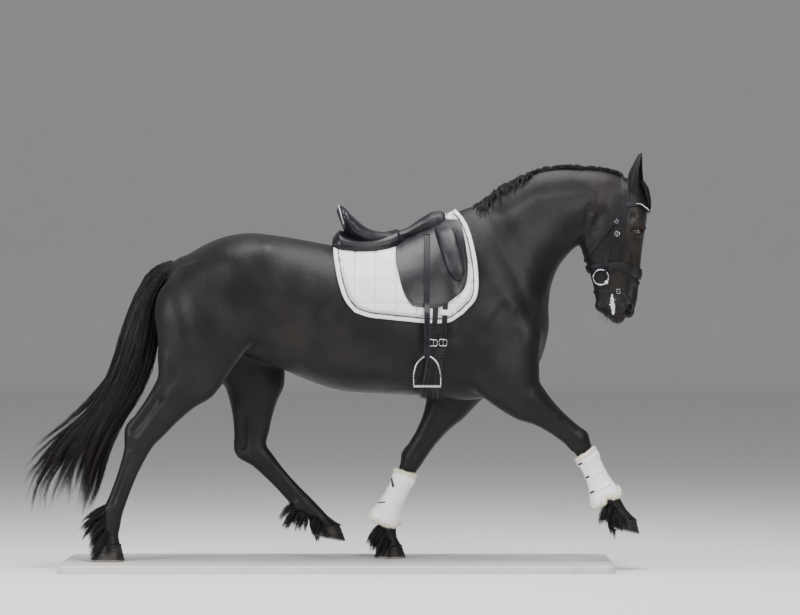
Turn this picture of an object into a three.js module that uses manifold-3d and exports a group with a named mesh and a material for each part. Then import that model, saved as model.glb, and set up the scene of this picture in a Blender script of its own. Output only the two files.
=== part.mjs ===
// A friesian horse in a collected trot, life size, standing on a flat base.
// Millimetres, +Z up. The horse faces +X and its left side is +Y.

import * as THREE from 'three';
import Module from 'manifold-3d';
import { mergeVertices } from 'three/addons/utils/BufferGeometryUtils.js';

const wasm = await Module();
wasm.setup();

// Fineness of the lofts: rings for each span between two sections, and sides round each ring
const TORSO_MESH = [1, 20];
const NECK_MESH = [1, 16];
const HEAD_MESH = [1, 16];
const LEG_MESH = [1, 12];
const HOOF_MESH = [1, 12];
const BOOT_MESH = [1, 10];
const EAR_MESH = [1, 8];
const SEAT_MESH = [1, 16];
const BLOCK_MESH = [1, 8];

// Gaps and thicknesses that many pieces share
const GAP = 0.4;
const PAD_THICKNESS = 18;
const FLAP_THICKNESS = 9;
const STRAP_THICKNESS = 5;
const NOSEBAND_THICKNESS = 11;
const GIRTH_THICKNESS = 13;
const PANEL_THICKNESS = 26;
const FLAPS_APART = 20;

// Half the width that a cut or an outline is carried across
const WHOLE = 700;
const BRIDLE = 300;

// The base
const BASE_THICKNESS = 36;
const BASE_REAR = -1330;
const BASE_FRONT = 1130;
const BASE_WIDTH = 820;
const BASE_CORNER = 60;

// A section runs from its upper or front point a to its lower or rear point b, as [x, z] above the base.
// w is its half width, y its middle, m the share of the way from a to b where it is widest.
// ea and eb square the half towards a and towards b: 2 is an ellipse, more is boxier, less is sharper.
const section = (a, b, w, y = 0, m = 0.5, ea = 2, eb = 2) => [...a, ...b, w, y, m, ea, eb];

// Torso, from the tail root to the breast bone
const TORSO = [
  section([-880, 1240], [-880, 1140], 45),
  section([-846, 1325], [-846, 1070], 105, 0, 0.45, 2.1, 2),
  section([-765, 1380], [-775, 1015], 172, 0, 0.42, 2.1, 2),
  section([-650, 1440], [-665, 970], 222, 0, 0.42, 2.2, 2),
  section([-518, 1470], [-526, 930], 256, 0, 0.42, 2.2, 2),
  section([-382, 1460], [-382, 870], 270, 0, 0.42, 2.2, 2),
  section([-250, 1438], [-250, 812], 276, 0, 0.48, 2.2, 2.1),
  section([-100, 1412], [-100, 762], 296, 0, 0.54, 2.1, 2.1),
  section([100, 1412], [100, 746], 303, 0, 0.57, 1.95, 2.1),
  section([270, 1464], [270, 736], 280, 0, 0.6, 1.75, 2.1),
  section([385, 1525], [385, 722], 250, 0, 0.62, 1.6, 2.1),
  section([486, 1568], [486, 716], 226, 0, 0.64, 1.55, 2),
  section([590, 1552], [600, 732], 212, 0, 0.6, 1.8, 2),
  section([680, 1450], [696, 768], 198, 0, 0.55),
  section([758, 1316], [776, 830], 170),
  section([812, 1186], [822, 935], 116),
  section([834, 1100], [838, 1010], 45),
];

// Neck, from inside the shoulders to inside the head; a is the crest, b the throat side
const NECK = [
  section([430, 1500], [684, 798], 180, 0, 0.6, 1.8, 2),
  section([500, 1566], [790, 900], 178, 0, 0.6, 1.8, 2),
  section([565, 1606], [832, 1010], 160, 0, 0.6, 1.7, 2.1),
  section([640, 1668], [845, 1120], 140, 0, 0.6, 1.7, 2.1),
  section([722, 1707], [858, 1220], 121, 0, 0.6, 1.7, 2.1),
  section([810, 1745], [890, 1310], 107, 0, 0.6, 1.75, 2.1),
  section([900, 1758], [934, 1370], 97, 0, 0.58, 1.75, 2.1),
  section([995, 1755], [985, 1418], 90, 0, 0.55, 1.8, 2.1),
  section([1090, 1748], [1032, 1466], 84, 0, 0.5, 1.9, 2.1),
  section([1166, 1724], [1082, 1520], 72),
  section([1208, 1690], [1122, 1556], 58),
];

// Head, from the back of the skull to the lips; a is the face, b the jaw
const HEAD = [
  section([1180, 1706], [1046, 1560], 54, 0, 0.45),
  section([1233, 1704], [1010, 1518], 72, 0, 0.4, 2.1, 2),
  section([1270, 1672], [990, 1474], 86, 0, 0.35, 2.3, 2),
  section([1288, 1618], [988, 1428], 98, 0, 0.3, 2.4, 1.9),
  section([1292, 1560], [997, 1388], 105, 0, 0.28, 2.5, 1.8),
  section([1286, 1500], [1010, 1348], 102, 0, 0.28, 2.4, 1.8),
  section([1276, 1438], [1026, 1307], 85, 0, 0.33, 2.2, 1.9),
  section([1268, 1374], [1040, 1262], 69, 0, 0.38, 2.1, 2),
  section([1262, 1312], [1051, 1219], 58, 0, 0.42, 2.1, 2.1),
  section([1256, 1253], [1058, 1176], 52, 0, 0.45, 2.1, 2.2),
  section([1252, 1204], [1071, 1140], 53, 0, 0.42, 2.3, 2.2),
  section([1245, 1158], [1092, 1107], 55, 0, 0.4, 2.4, 2.2),
  section([1228, 1116], [1116, 1084], 47, 0, 0.45, 2.3, 2.2),
  section([1200, 1090], [1146, 1072], 26),
];

// Legs: the pose of each is the middles of its joints as [x, z, y], from the top of the bone down
const FORE_LEGS = {
  right: {
    top: [
      section([722, 1210], [412, 1070], 48, -150),
      section([806, 1010], [456, 890], 76, -150),
      section([802, 890], [500, 792], 86, -148),
      section([804, 806], [556, 726], 84, -145),
    ],
    joints: [[736, 727, -142], [980, 540, -125], [1110, 294, -120], [1186, 184, -120]],
    toe: [1248, 122],
    heel: [1110, 153],
  },
  left: {
    top: [
      section([734, 1214], [362, 1068], 48, 150),
      section([798, 1009], [362, 887], 76, 150),
      section([702, 828], [325, 823], 86, 148),
      section([552, 714], [325, 769], 84, 145),
    ],
    joints: [[395, 696, 142], [237, 449, 125], [120, 172, 120], [140, 50, 120]],
    toe: [205, 0],
    heel: [62, 0],
  },
};
const HIND_LEGS = {
  right: {
    top: [
      section([-436, 1372], [-794, 1310], 60, -120),
      section([-391, 1234], [-890, 1212], 98, -138),
      section([-409, 1113], [-914, 1113], 116, -146, 0.5, 2, 2.2),
      section([-453, 1011], [-903, 1011], 113, -150, 0.5, 2, 2.2),
      section([-520, 922], [-894, 913], 98, -152, 0.5, 2, 2.1),
    ],
    joints: [[-748, 837, -148], [-978, 545, -116], [-1102, 212, -113], [-1119, 72, -113]],
    toe: [-1050, 0],
    heel: [-1202, 0],
  },
  left: {
    top: [
      section([-428, 1377], [-808, 1313], 60, 120),
      section([-347, 1223], [-891, 1204], 98, 138),
      section([-310, 1086], [-864, 1068], 116, 146, 0.5, 2, 2.2),
      section([-320, 977], [-792, 941], 110, 150, 0.5, 2, 2.2),
      section([-342, 882], [-701, 846], 94, 152, 0.5, 2, 2.1),
    ],
    joints: [[-482, 792, 148], [-486, 492, 116], [-256, 245, 113], [-146, 142, 113]],
    toe: [-69, 76],
    heel: [-222, 103],
  },
};

// Leg profiles: the bone, the way down it, the reach to front and rear of its middle, the half width
const FORE_PROFILE = [
  [0, 0.04, 100, 100, 75], // top of the forearm
  [0, 0.3, 74, 72, 64],
  [0, 0.58, 58, 56, 54],
  [0, 0.84, 52, 53, 48],
  [1, 0, 51, 51, 48], // knee
  [1, 0.14, 42, 44, 41],
  [1, 0.3, 34, 37, 30], // cannon
  [1, 0.75, 32, 36, 28],
  [2, 0, 40, 44, 37], // fetlock
  [2, 0.35, 37, 40, 34],
  [2, 0.68, 34, 36, 33], // pastern
  [2, 1, 46, 47, 49], // coronet
];
const HIND_PROFILE = [
  [0, 0.05, 132, 138, 78], // below the stifle
  [0, 0.3, 104, 110, 62],
  [0, 0.55, 84, 94, 50], // gaskin
  [0, 0.8, 74, 88, 42],
  [1, 0, 66, 82, 43], // hock
  [1, 0.2, 52, 56, 38],
  [1, 0.42, 43, 45, 29], // cannon
  [1, 0.8, 40, 43, 28],
  [2, 0, 43, 47, 37], // fetlock
  [2, 0.4, 40, 42, 34],
  [2, 0.72, 38, 38, 34], // pastern
  [2, 1, 50, 50, 51], // coronet
];

const CORONET_RISE = 0.2;
const CORONET_LEAN = 0.7;
const HOOF_TOP_FLARE = 4;
const HOOF_HALF_WIDTH = 63;
const SOLE_ROUNDING = 2.3;

// Ears, cut to the surface of the head; given for the right one
const EAR = [
  section([1266, 1640], [1204, 1634], 22, -48),
  section([1272, 1672], [1202, 1668], 27, -54),
  section([1276, 1706], [1206, 1702], 29, -60),
  section([1270, 1752], [1216, 1748], 25, -66),
  section([1266, 1794], [1238, 1790], 14, -68),
  section([1264, 1828], [1256, 1826], 4, -66),
];
const EAR_WALL = 5;
const EAR_OPENING = [10, 22, 6];

const EYE = [1241, 80, 1476];
const EYE_RADIUS = 23;
const LID_THICKNESS = 5;
const LID_OPENING = 0.62;
const NOSTRIL = [1212, 50, 1122];
const NOSTRIL_SIZE = [14, 20, 27];
const NOSTRIL_RIM = 4;
const NOSTRIL_OPENING = [4, 14, -2];
const MOUTH_LINE = [
  [1120, 1208], [1126, 1150], [1126, 1060], [1122, 1060], [1121, 1150], [1115, 1208],
];
const MOUTH_DEPTH = 12;

// Outlines of the pieces that lie on the horse, as [x, z]
const PAD_OUTLINE = [
  [-125, 1520], [-108, 1330], [-86, 1225], [-60, 1160], [-20, 1112], [40, 1092], [120, 1082],
  [220, 1072], [330, 1064], [400, 1068], [455, 1085], [500, 1125], [528, 1190], [532, 1260],
  [520, 1350], [497, 1450], [470, 1540], [440, 1640], [-110, 1640],
];
const FLAP_OUTLINE = [
  [172, 1440], [160, 1350], [180, 1250], [206, 1175], [236, 1136], [330, 1126], [400, 1152],
  [466, 1208], [482, 1272], [476, 1370], [452, 1494], [330, 1500], [240, 1470],
];
const PANEL_OUTLINE = [
  [-112, 1600], [-104, 1455], [-70, 1412], [40, 1396], [140, 1400], [200, 1440], [200, 1600],
];
const GIRTH_OUTLINE = [[312, 1063], [398, 1063], [352, 700], [262, 700]];
const BILLET_OUTLINE = [[366, 1125], [392, 1125], [390, 1064], [364, 1064]];

// Seat of the saddle, from the cantle to the pommel
const SEAT = [
  section([-106, 1560], [-96, 1420], 70),
  section([-98, 1586], [-88, 1410], 128, 0, 0.5, 2.4, 2),
  section([-78, 1584], [-66, 1400], 158, 0, 0.5, 2.6, 2),
  section([-40, 1540], [-30, 1390], 168, 0, 0.45, 2.8, 2),
  section([30, 1490], [35, 1380], 156, 0, 0.4, 2.8, 2),
  section([120, 1474], [120, 1390], 120, 0, 0.4, 2.6, 2),
  section([200, 1488], [200, 1420], 86, 0, 0.4, 2.4, 2),
  section([275, 1536], [275, 1440], 72, 0, 0.4, 2.2, 2),
  section([335, 1566], [340, 1450], 70, 0, 0.4, 2.2, 2),
  section([385, 1556], [392, 1470], 56, 0, 0.4),
  section([402, 1536], [405, 1490], 30),
];
const KNEE_BLOCK = [
  section([372, 1500], [322, 1485], 8),
  section([402, 1470], [335, 1448], 20),
  section([424, 1400], [358, 1382], 26),
  section([452, 1310], [392, 1296], 24),
  section([464, 1272], [420, 1262], 9),
];

const BLOCK_SET_BACK = 20;

// Stirrups, hanging plumb
const STIRRUP_X = 300;
const LEATHER_WIDTH = 26;
const LEATHER_THICKNESS = 7;
const LEATHER_TOP = 1400;
const LEATHER_BOTTOM = 925;
const LEATHER_FREE_BELOW = 1120;
const LEATHER_STEPS = 10;
const HANGING_OUT = 336;
const IRON_HEIGHT = 132;
const IRON_HALF_WIDTH = 60;
const IRON_ROD = 6;
const TREAD_DEPTH = 42;
const TREAD_THICKNESS = 12;

// Bridle, as bands across the head
const HEADPIECE = [[1170, 1606], [1166, 1720], [1168, 1800], [1212, 1800], [1206, 1720], [1204, 1606]];
const BROWBAND = [[1190, 1580], [1250, 1570], [1330, 1530], [1330, 1552], [1252, 1596], [1192, 1605]];
const CHEEKPIECE = [
  [1180, 1579], [1196, 1579], [1176, 1502], [1152, 1440], [1124, 1368],
  [1110, 1292], [1094, 1294], [1108, 1374], [1136, 1446], [1160, 1508],
];
const NOSEBAND = [
  [1000, 1322], [1121, 1330], [1156, 1336], [1203, 1320], [1262, 1294], [1300, 1280],
  [1300, 1240], [1262, 1254], [1203, 1282], [1156, 1304], [1121, 1302], [1000, 1292],
];
const NOSEBAND_HANGER = [
  [1178, 1562], [1196, 1562], [1192, 1500], [1184, 1430],
  [1174, 1325], [1158, 1325], [1170, 1430], [1176, 1500],
];
const FLASH_STRAP = [
  [1020, 1216], [1100, 1216], [1165, 1216], [1210, 1234], [1300, 1254],
  [1300, 1236], [1214, 1216], [1165, 1198], [1100, 1198], [1020, 1198],
];
const THROATLATCH = [
  [1186, 1578], [1168, 1546], [1140, 1500], [1098, 1440], [1060, 1396], [1020, 1340],
  [1004, 1352], [1046, 1408], [1084, 1452], [1124, 1508], [1150, 1552], [1170, 1578],
];
const BIT_RING = [1080, 76, 1269];
const BIT_RING_RADIUS = 34;
const BIT_WIRE = 4;
const BIT_LOOP = [16, 14, 18];
const BIT_BARREL_RADIUS = 9;
const BIT_BARREL_AT = [1105, 1245];
const BIT_OUT = 84;

// Boots on the forelegs: the way down the cannon, the reach to the front and to the rear, the half width
const BOOT_PROFILE = [
  [0.13, 42, 44, 43],
  [0.18, 52, 54, 51],
  [0.45, 45, 50, 43],
  [0.68, 44, 56, 44],
  [0.84, 50, 72, 52],
  [0.96, 58, 84, 59],
  [1.06, 54, 78, 56],
  [1.09, 44, 52, 46],
];

// Tail, from the dock; each row is the outer edge and the inner edge of the hair, as a section
const TAIL = [
  section([-846, 1322], [-858, 1262], 34),
  section([-900, 1318], [-880, 1240], 44),
  section([-962, 1266], [-905, 1200], 56),
  section([-1025, 1160], [-915, 1130], 66),
  section([-1072, 1044], [-920, 1035], 74),
  section([-1120, 880], [-945, 870], 80),
  section([-1170, 760], [-985, 740], 84),
  section([-1240, 640], [-1060, 620], 84),
  section([-1320, 540], [-1100, 520], 80),
  section([-1360, 430], [-1135, 410], 70),
  section([-1370, 320], [-1165, 300], 56),
  section([-1315, 190], [-1225, 190], 34),
];
const TAIL_TIERS = [
  { count: 10, from: 0.5, share: 0.9, twist: 0 },
  { count: 5, from: 4.2, share: 0.45, twist: 0.4 },
];
const TAIL_LOCK = { width: 42, thickness: 20, spans: 5 };
const TAIL_CORE_ROWS = 6;
const TAIL_CORE_SHARE = 0.6;
const TAIL_SWEEP = 190;

// Mane: it falls to the left, with short hair standing to the right near the withers
const MANE_FROM = 1.7;
const MANE_TO = 9.1;
const MANE_LOCKS = 15;
const MANE_LOCK = { width: 64, thickness: 10, spans: 3 };
const MANE_DRIFT = 0.8;
const MANE_LEVEL = 14;
const HAIR_LIFT = 6.5;
const RUFFLE_LOCK = { width: 36, thickness: 10, spans: 2 };
const MANE_CORE_OUT = 14;
const RUFFLE_LOCKS = 3;
const FORELOCK_LOCKS = 4;
const FORELOCK_LIFT = 12.5;
const FORELOCK_LOCK = { width: 42, thickness: 11, spans: 3 };

// Feathers: the long hair behind the fetlocks and pasterns
const FEATHER_LOCKS = 6;
const UPPER_FEATHERS = 2;
const FEATHER_LOCK = { width: 34, thickness: 13, spans: 3 };
const FEATHER_LENGTH = 105;
const LOWEST_HAIR = 7;

// Values at u, a station number with its fraction, on a smooth curve through the rows
const between = (rows, u) => {
  const last = rows.length - 1;
  const i = Math.min(Math.floor(u), last - 1);
  const f = u - i;
  const knot = (j) => {
    const [a, b] = [rows[j], rows[j + 1]];
    const [dx, dz, dy] = [a[0] + a[2] - b[0] - b[2], a[1] + a[3] - b[1] - b[3], 2 * (a[5] - b[5])];
    return Math.max(1, Math.hypot(dx, dz, dy) / 2);
  };
  const slope = (ahead, behind, other) => (ahead * other + (behind / other) * h) / (h + other);
  const h = knot(i);
  const before = i > 0 ? knot(i - 1) : h;
  const after = i < last - 1 ? knot(i + 1) : h;
  return rows[i].map((p, k) => {
    const q = rows[i + 1][k];
    const inside = (q - p) / h;
    const slopeIn = i > 0 ? slope(inside, p - rows[i - 1][k], before) : inside;
    const slopeOut = i < last - 1 ? slope(inside, rows[i + 2][k] - q, after) : inside;
    const f2 = f * f;
    const f3 = f2 * f;
    return (2 * f3 - 3 * f2 + 1) * p + (f3 - 2 * f2 + f) * h * slopeIn
      + (3 * f2 - 2 * f3) * q + (f3 - f2) * h * slopeOut;
  });
};

// A point on a loft at station u and angle t, 0 at point a and 90 degrees to the left, lifted off it by out
const onLoft = (rows, u, t, out = 0) => {
  const [ax, az, bx, bz, w, y, m, ea, eb] = between(rows, u);
  const middle = [ax + (bx - ax) * m, az + (bz - az) * m];
  const c = Math.cos(t);
  const s = Math.sin(t);
  const power = 2 / (c > 0 ? ea : eb);
  const end = c > 0 ? [ax, az] : [bx, bz];
  const span = Math.hypot(end[0] - middle[0], end[1] - middle[1]) || 1;
  const along = Math.abs(c) ** power * (1 + out / span);
  const side = Math.sign(s) * Math.abs(s) ** power * (Math.max(w, 1) + out);
  return [middle[0] + (end[0] - middle[0]) * along, y + side, middle[1] + (end[1] - middle[1]) * along];
};

// A closed mesh as a solid
const solid = (points, triangles) => new wasm.Manifold(new wasm.Mesh({
  numProp: 3,
  vertProperties: Float32Array.from(points.flat()),
  triVerts: Uint32Array.from(triangles.flat()),
}));

// A closed tube through rings of points, each ring the same count, with its ends closed to their middles
const tube = (rings) => {
  const n = rings[0].length;
  const points = rings.flat();
  const triangles = [];
  for (let i = 0; i + 1 < rings.length; i += 1) {
    for (let j = 0; j < n; j += 1) {
      const k = (j + 1) % n;
      const [p, q, r, s] = [i * n + j, i * n + k, (i + 1) * n + k, (i + 1) * n + j];
      triangles.push([p, q, r], [p, r, s]);
    }
  }
  for (const [ring, start, flip] of [[rings[0], 0, true], [rings.at(-1), (rings.length - 1) * n, false]]) {
    const middle = points.push([0, 1, 2].map((c) => ring.reduce((sum, p) => sum + p[c], 0) / n)) - 1;
    for (let j = 0; j < n; j += 1) {
      const k = (j + 1) % n;
      triangles.push(flip ? [middle, start + k, start + j] : [middle, start + j, start + k]);
    }
  }
  const made = solid(points, triangles);
  return made.volume() < 0 ? solid(points, triangles.map(([a, b, c]) => [a, c, b])) : made;
};

// The solid of a loft, its surface lifted by out
const loft = (rows, [perSpan, sides], out = 0) => {
  const count = (rows.length - 1) * perSpan;
  const rings = [];
  for (let i = 0; i <= count; i += 1) {
    const ring = [];
    for (let j = 0; j < sides; j += 1) {
      ring.push(onLoft(rows, i / perSpan, (2 * Math.PI * j) / sides, out));
    }
    rings.push(ring);
  }
  return tube(rings);
};

// A three.js geometry as a solid
const fromGeometry = (geometry) => {
  geometry.deleteAttribute('normal');
  geometry.deleteAttribute('uv');
  const merged = mergeVertices(geometry, 1e-4);
  return new wasm.Manifold(new wasm.Mesh({
    numProp: 3,
    vertProperties: Float32Array.from(merged.attributes.position.array),
    triVerts: Uint32Array.from(merged.index.array),
  }));
};

// An outline in XZ carried across from y0 to y1
const across = (outline, y0 = -WHOLE, y1 = WHOLE) => {
  const shape = new THREE.Shape(outline.map(([x, z]) => new THREE.Vector2(x, z)));
  const geometry = new THREE.ExtrudeGeometry(shape, { depth: y1 - y0, bevelEnabled: false });
  geometry.rotateX(Math.PI / 2);
  geometry.translate(0, y1, 0);
  return fromGeometry(geometry);
};

const ellipsoid = ([x, y, z], [rx, ry, rz], around = 10, down = 6) => {
  const geometry = new THREE.SphereGeometry(1, around, down);
  geometry.scale(rx, ry, rz);
  geometry.translate(x, y, z);
  return fromGeometry(geometry);
};

const largest = (shape) => {
  const pieces = shape.decompose().sort((a, b) => b.volume() - a.volume());
  return pieces[0];
};

// The rows of a leg: its top as given, then the profile set on its bones
// The coronet leans towards the line of the sole, and a little up at its front
const legRows = ({ top, joints, toe, heel }, profile) => {
  const sole = Math.atan2(toe[1] - heel[1], toe[0] - heel[0]) + CORONET_RISE;
  const heading = (i) => {
    const [from, to] = [joints[i], joints[i + 1]];
    return Math.atan2(to[1] - from[1], to[0] - from[0]);
  };
  const rows = [...top];
  for (const [bone, way, front, rear, w] of profile) {
    const [from, to] = [joints[Math.min(bone, 2)], joints[Math.min(bone, 2) + 1]];
    const here = heading(bone);
    const before = bone > 0 ? heading(bone - 1) : here;
    const after = bone < 2 ? heading(bone + 1) : here;
    const bend = way < 0.5 ? (before - here) * (0.5 - way) : (after - here) * (way - 0.5);
    const square = here + bend + Math.PI / 2;
    const angle = bone === 2 ? square + (sole - square) * CORONET_LEAN * way ** 2 : square;
    const normal = [Math.cos(angle), Math.sin(angle)];
    const x = from[0] + (to[0] - from[0]) * way;
    const z = from[1] + (to[1] - from[1]) * way;
    const y = from[2] + (to[2] - from[2]) * way;
    rows.push(section(
      [x + normal[0] * front, z + normal[1] * front],
      [x - normal[0] * rear, z - normal[1] * rear],
      w, y, 0.5, 2.15, 2.15,
    ));
  }
  return rows;
};

const legs = {};
const pairs = [['front', FORE_LEGS, FORE_PROFILE], ['hind', HIND_LEGS, HIND_PROFILE]];
for (const [place, pair, profile] of pairs) {
  for (const side of ['left', 'right']) {
    legs[`${place}_${side}`] = { ...pair[side], side, place, rows: legRows(pair[side], profile) };
  }
}

// The space that a leg takes, with its lower end moved on by the same amount
const legSpace = (leg, out) => {
  const [, , from, to] = leg.joints;
  const length = Math.hypot(to[0] - from[0], to[1] - from[1]);
  const [dx, dz] = [((to[0] - from[0]) / length) * out, ((to[1] - from[1]) / length) * out];
  const last = leg.rows.at(-1);
  const end = [last[0] + dx, last[1] + dz, last[2] + dx, last[3] + dz, ...last.slice(4)];
  return loft([...leg.rows.slice(0, -1), end], LEG_MESH, out);
};

const hoofRows = (leg, out = 0) => {
  const last = leg.rows.at(-1);
  const flare = (p, q) => {
    const by = HOOF_TOP_FLARE / Math.hypot(p[0] - q[0], p[1] - q[1]);
    return [p[0] + (p[0] - q[0]) * by, p[1] + (p[1] - q[1]) * by];
  };
  const front = [last[0], last[1]];
  const rear = [last[2], last[3]];
  const y = last[5];
  const mix = (p, q, f) => [p[0] + (q[0] - p[0]) * f, p[1] + (q[1] - p[1]) * f];
  const [a, b] = [flare(front, rear), flare(rear, front)];
  const soleLength = Math.hypot(leg.toe[0] - leg.heel[0], leg.toe[1] - leg.heel[1]);
  const down = [(leg.toe[1] - leg.heel[1]) / soleLength, (leg.heel[0] - leg.toe[0]) / soleLength];
  const lower = (p, by) => [p[0] + down[0] * by, p[1] + down[1] * by];
  const [toe, heel] = [lower(leg.toe, out), lower(leg.heel, out)];
  return [
    section(lower(a, GAP - out), lower(b, GAP - out), last[4] + HOOF_TOP_FLARE, y),
    section(mix(a, toe, 0.5), mix(b, heel, 0.5), last[4] + 9, y, 0.45, SOLE_ROUNDING, SOLE_ROUNDING),
    section(toe, heel, HOOF_HALF_WIDTH, y, 0.42, SOLE_ROUNDING, SOLE_ROUNDING),
  ];
};

// All the flesh, its surface lifted by out, kept for each value that is asked for
const lifted = new Map();
const flesh = (out = 0) => {
  if (!lifted.has(out)) {
    let whole = loft(TORSO, TORSO_MESH, out);
    whole = whole.add(loft(NECK, NECK_MESH, out)).add(loft(HEAD, HEAD_MESH, out));
    for (const leg of Object.values(legs)) {
      whole = whole.add(loft(leg.rows, LEG_MESH, out));
    }
    lifted.set(out, whole);
  }
  return lifted.get(out);
};

// A layer that lies on the flesh inside an outline, from inner to outer off the surface
const layer = (outline, inner, outer, y0, y1) => {
  const slab = flesh(outer).intersect(across(outline, y0, y1));
  return slab.subtract(flesh(inner));
};

// Small helpers on points
const minus = (p, q) => p.map((v, k) => v - q[k]);
const cross = (p, q) => [p[1] * q[2] - p[2] * q[1], p[2] * q[0] - p[0] * q[2], p[0] * q[1] - p[1] * q[0]];
const unit = (p) => {
  const d = Math.hypot(...p) || 1;
  return p.map((v) => v / d);
};
const clear = (shape, ...others) => others.reduce((left, other) => left.subtract(other), shape);

// An outline with every edge moved out by the same distance
const grownBy = (outline, by) => {
  const turn = Math.sign(THREE.ShapeUtils.area(outline.map(([x, y]) => ({ x, y }))));
  return outline.map((p, i) => {
    const before = outline.at(i - 1);
    const after = outline[(i + 1) % outline.length];
    const [inX, inZ] = [p[0] - before[0], p[1] - before[1]];
    const [outX, outZ] = [after[0] - p[0], after[1] - p[1]];
    const [lengthIn, lengthOut] = [Math.hypot(inX, inZ), Math.hypot(outX, outZ)];
    const normalIn = [(turn * inZ) / lengthIn, (-turn * inX) / lengthIn];
    const normalOut = [(turn * outZ) / lengthOut, (-turn * outX) / lengthOut];
    const share = by / Math.max(0.3, 1 + normalIn[0] * normalOut[0] + normalIn[1] * normalOut[1]);
    return [p[0] + (normalIn[0] + normalOut[0]) * share, p[1] + (normalIn[1] + normalOut[1]) * share];
  });
};

// How far from the middle plane the side of the torso is at x and z
const sideOf = (x, z, out = 0) => {
  let u = 0;
  while (u < TORSO.length - 1.01 && between(TORSO, u)[0] < x) {
    u += 0.02;
  }
  const [, az, , bz, w, , m, ea, eb] = between(TORSO, u);
  const middle = az + (bz - az) * m;
  const share = z > middle ? (z - middle) / (az - middle) : (middle - z) / (middle - bz);
  const e = z > middle ? ea : eb;
  return w * Math.max(0, 1 - Math.min(1, share) ** e) ** (1 / e) + out;
};

// Seeded random numbers, the same on each run; spread gives one from -size to size
let seed = 20;
const random = () => {
  seed = (seed * 16807) % 2147483647;
  return seed / 2147483647;
};
const spread = (size) => (random() * 2 - 1) * size;

// A flat lock of hair with four sides along a path, widest at a third of its way and thin at its tip
const lock = ({ width, thickness, spans }, path, outwards) => {
  const rings = [];
  for (let i = 0; i <= spans; i += 1) {
    const s = i / spans;
    const along = unit(minus(path(Math.min(1, s + 0.04)), path(Math.max(0, s - 0.04))));
    const side = unit(cross(along, unit(outwards(s))));
    const up = cross(side, along);
    const taper = Math.min(1, 0.72 + s) * Math.min(1, 1.35 * (1 - s) + 0.07);
    const [w, h] = [(width / 2) * taper, (thickness / 2) * taper];
    const at = path(s);
    const corners = [[side, w], [up, h], [side, -w], [up, -h]];
    rings.push(corners.map(([way, by]) => at.map((v, k) => v + way[k] * by)));
  }
  return tube(rings);
};

// A lock along a loft: way gives its station, angle and height off the surface at each share of its length
const lockOn = (rows, size, way) => lock(
  size,
  (s) => onLoft(rows, ...way(s)),
  (s) => {
    const [u, t, out] = way(s);
    return minus(onLoft(rows, u, t, out + 20), onLoft(rows, u, t, out));
  },
);

const parts = {};

// The flesh with its eye sockets, lids, nostrils and mouth
let body = flesh();
for (const side of [-1, 1]) {
  const at = [EYE[0], side * EYE[1], EYE[2]];
  body = body.add(ellipsoid(at, Array(3).fill(EYE_RADIUS + LID_THICKNESS)));
  const opening = ellipsoid(
    [at[0] + 3, at[1] + side * EYE_RADIUS, at[2] - 2],
    [EYE_RADIUS * 0.95, EYE_RADIUS, EYE_RADIUS * LID_OPENING],
  );
  body = body.subtract(opening);
  body = body.subtract(ellipsoid(at, Array(3).fill(EYE_RADIUS + GAP)));
  parts[side < 0 ? 'eye_right' : 'eye_left'] = ellipsoid(at, Array(3).fill(EYE_RADIUS));
  const nostril = [NOSTRIL[0], side * NOSTRIL[1], NOSTRIL[2]];
  body = body.add(ellipsoid(nostril, NOSTRIL_SIZE.map((s) => s + NOSTRIL_RIM)));
  const [outX, outY, outZ] = NOSTRIL_OPENING;
  const hole = [nostril[0] + outX, nostril[1] + side * outY, nostril[2] + outZ];
  body = body.subtract(ellipsoid(hole, NOSTRIL_SIZE));
}
const mouth = across(MOUTH_LINE);
const lipsDepth = loft(HEAD, HEAD_MESH, -MOUTH_DEPTH);
body = body.subtract(mouth.subtract(lipsDepth));

// Thin cuts part the flesh into its nodes
const NECK_CUT = [
  [1060, 1500], [1155, 1760], [1155, 1900], [1600, 1900], [1600, 900], [900, 900], [960, 1320],
];
const SHOULDER_CUT = [
  [520, 1700], [600, 1400], [800, 1040], [900, 900], [1500, 900], [1500, 1950], [520, 1950],
];
const FORE_CUT = [
  [300, 650], [440, 706], [880, 868], [1500, 868], [1500, -50], [-200, -50], [-200, 650],
];
const HIND_CUT = [[-1500, 1010], [-930, 1010], [-280, 840], [-150, 700], [0, -50], [-1500, -50]];
const FORE_CUT_INSIDE = 45;
const HIND_CUT_INSIDE = 14;
parts.head = largest(body.intersect(across(NECK_CUT)));
const rest = body.subtract(across(grownBy(NECK_CUT, GAP)));
parts.neck = largest(rest.intersect(across(SHOULDER_CUT)));
let torso = rest.subtract(across(grownBy(SHOULDER_CUT, GAP)));
for (const [name, leg] of Object.entries(legs)) {
  const sign = leg.side === 'left' ? 1 : -1;
  const inside = leg.place === 'front' ? FORE_CUT_INSIDE : HIND_CUT_INSIDE;
  const [near, far] = sign > 0 ? [inside, WHOLE] : [-WHOLE, -inside];
  const cut = leg.place === 'front' ? FORE_CUT : HIND_CUT;
  parts[`leg_${name}`] = largest(body.intersect(across(cut, near, far)));
  torso = torso.subtract(across(grownBy(cut, GAP), near - GAP, far + GAP));
}
parts.torso = largest(torso);

// Hooves
for (const [name, leg] of Object.entries(legs)) {
  parts[`hoof_${name}`] = largest(loft(hoofRows(leg), HOOF_MESH).subtract(legSpace(leg, GAP)));
}

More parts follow.
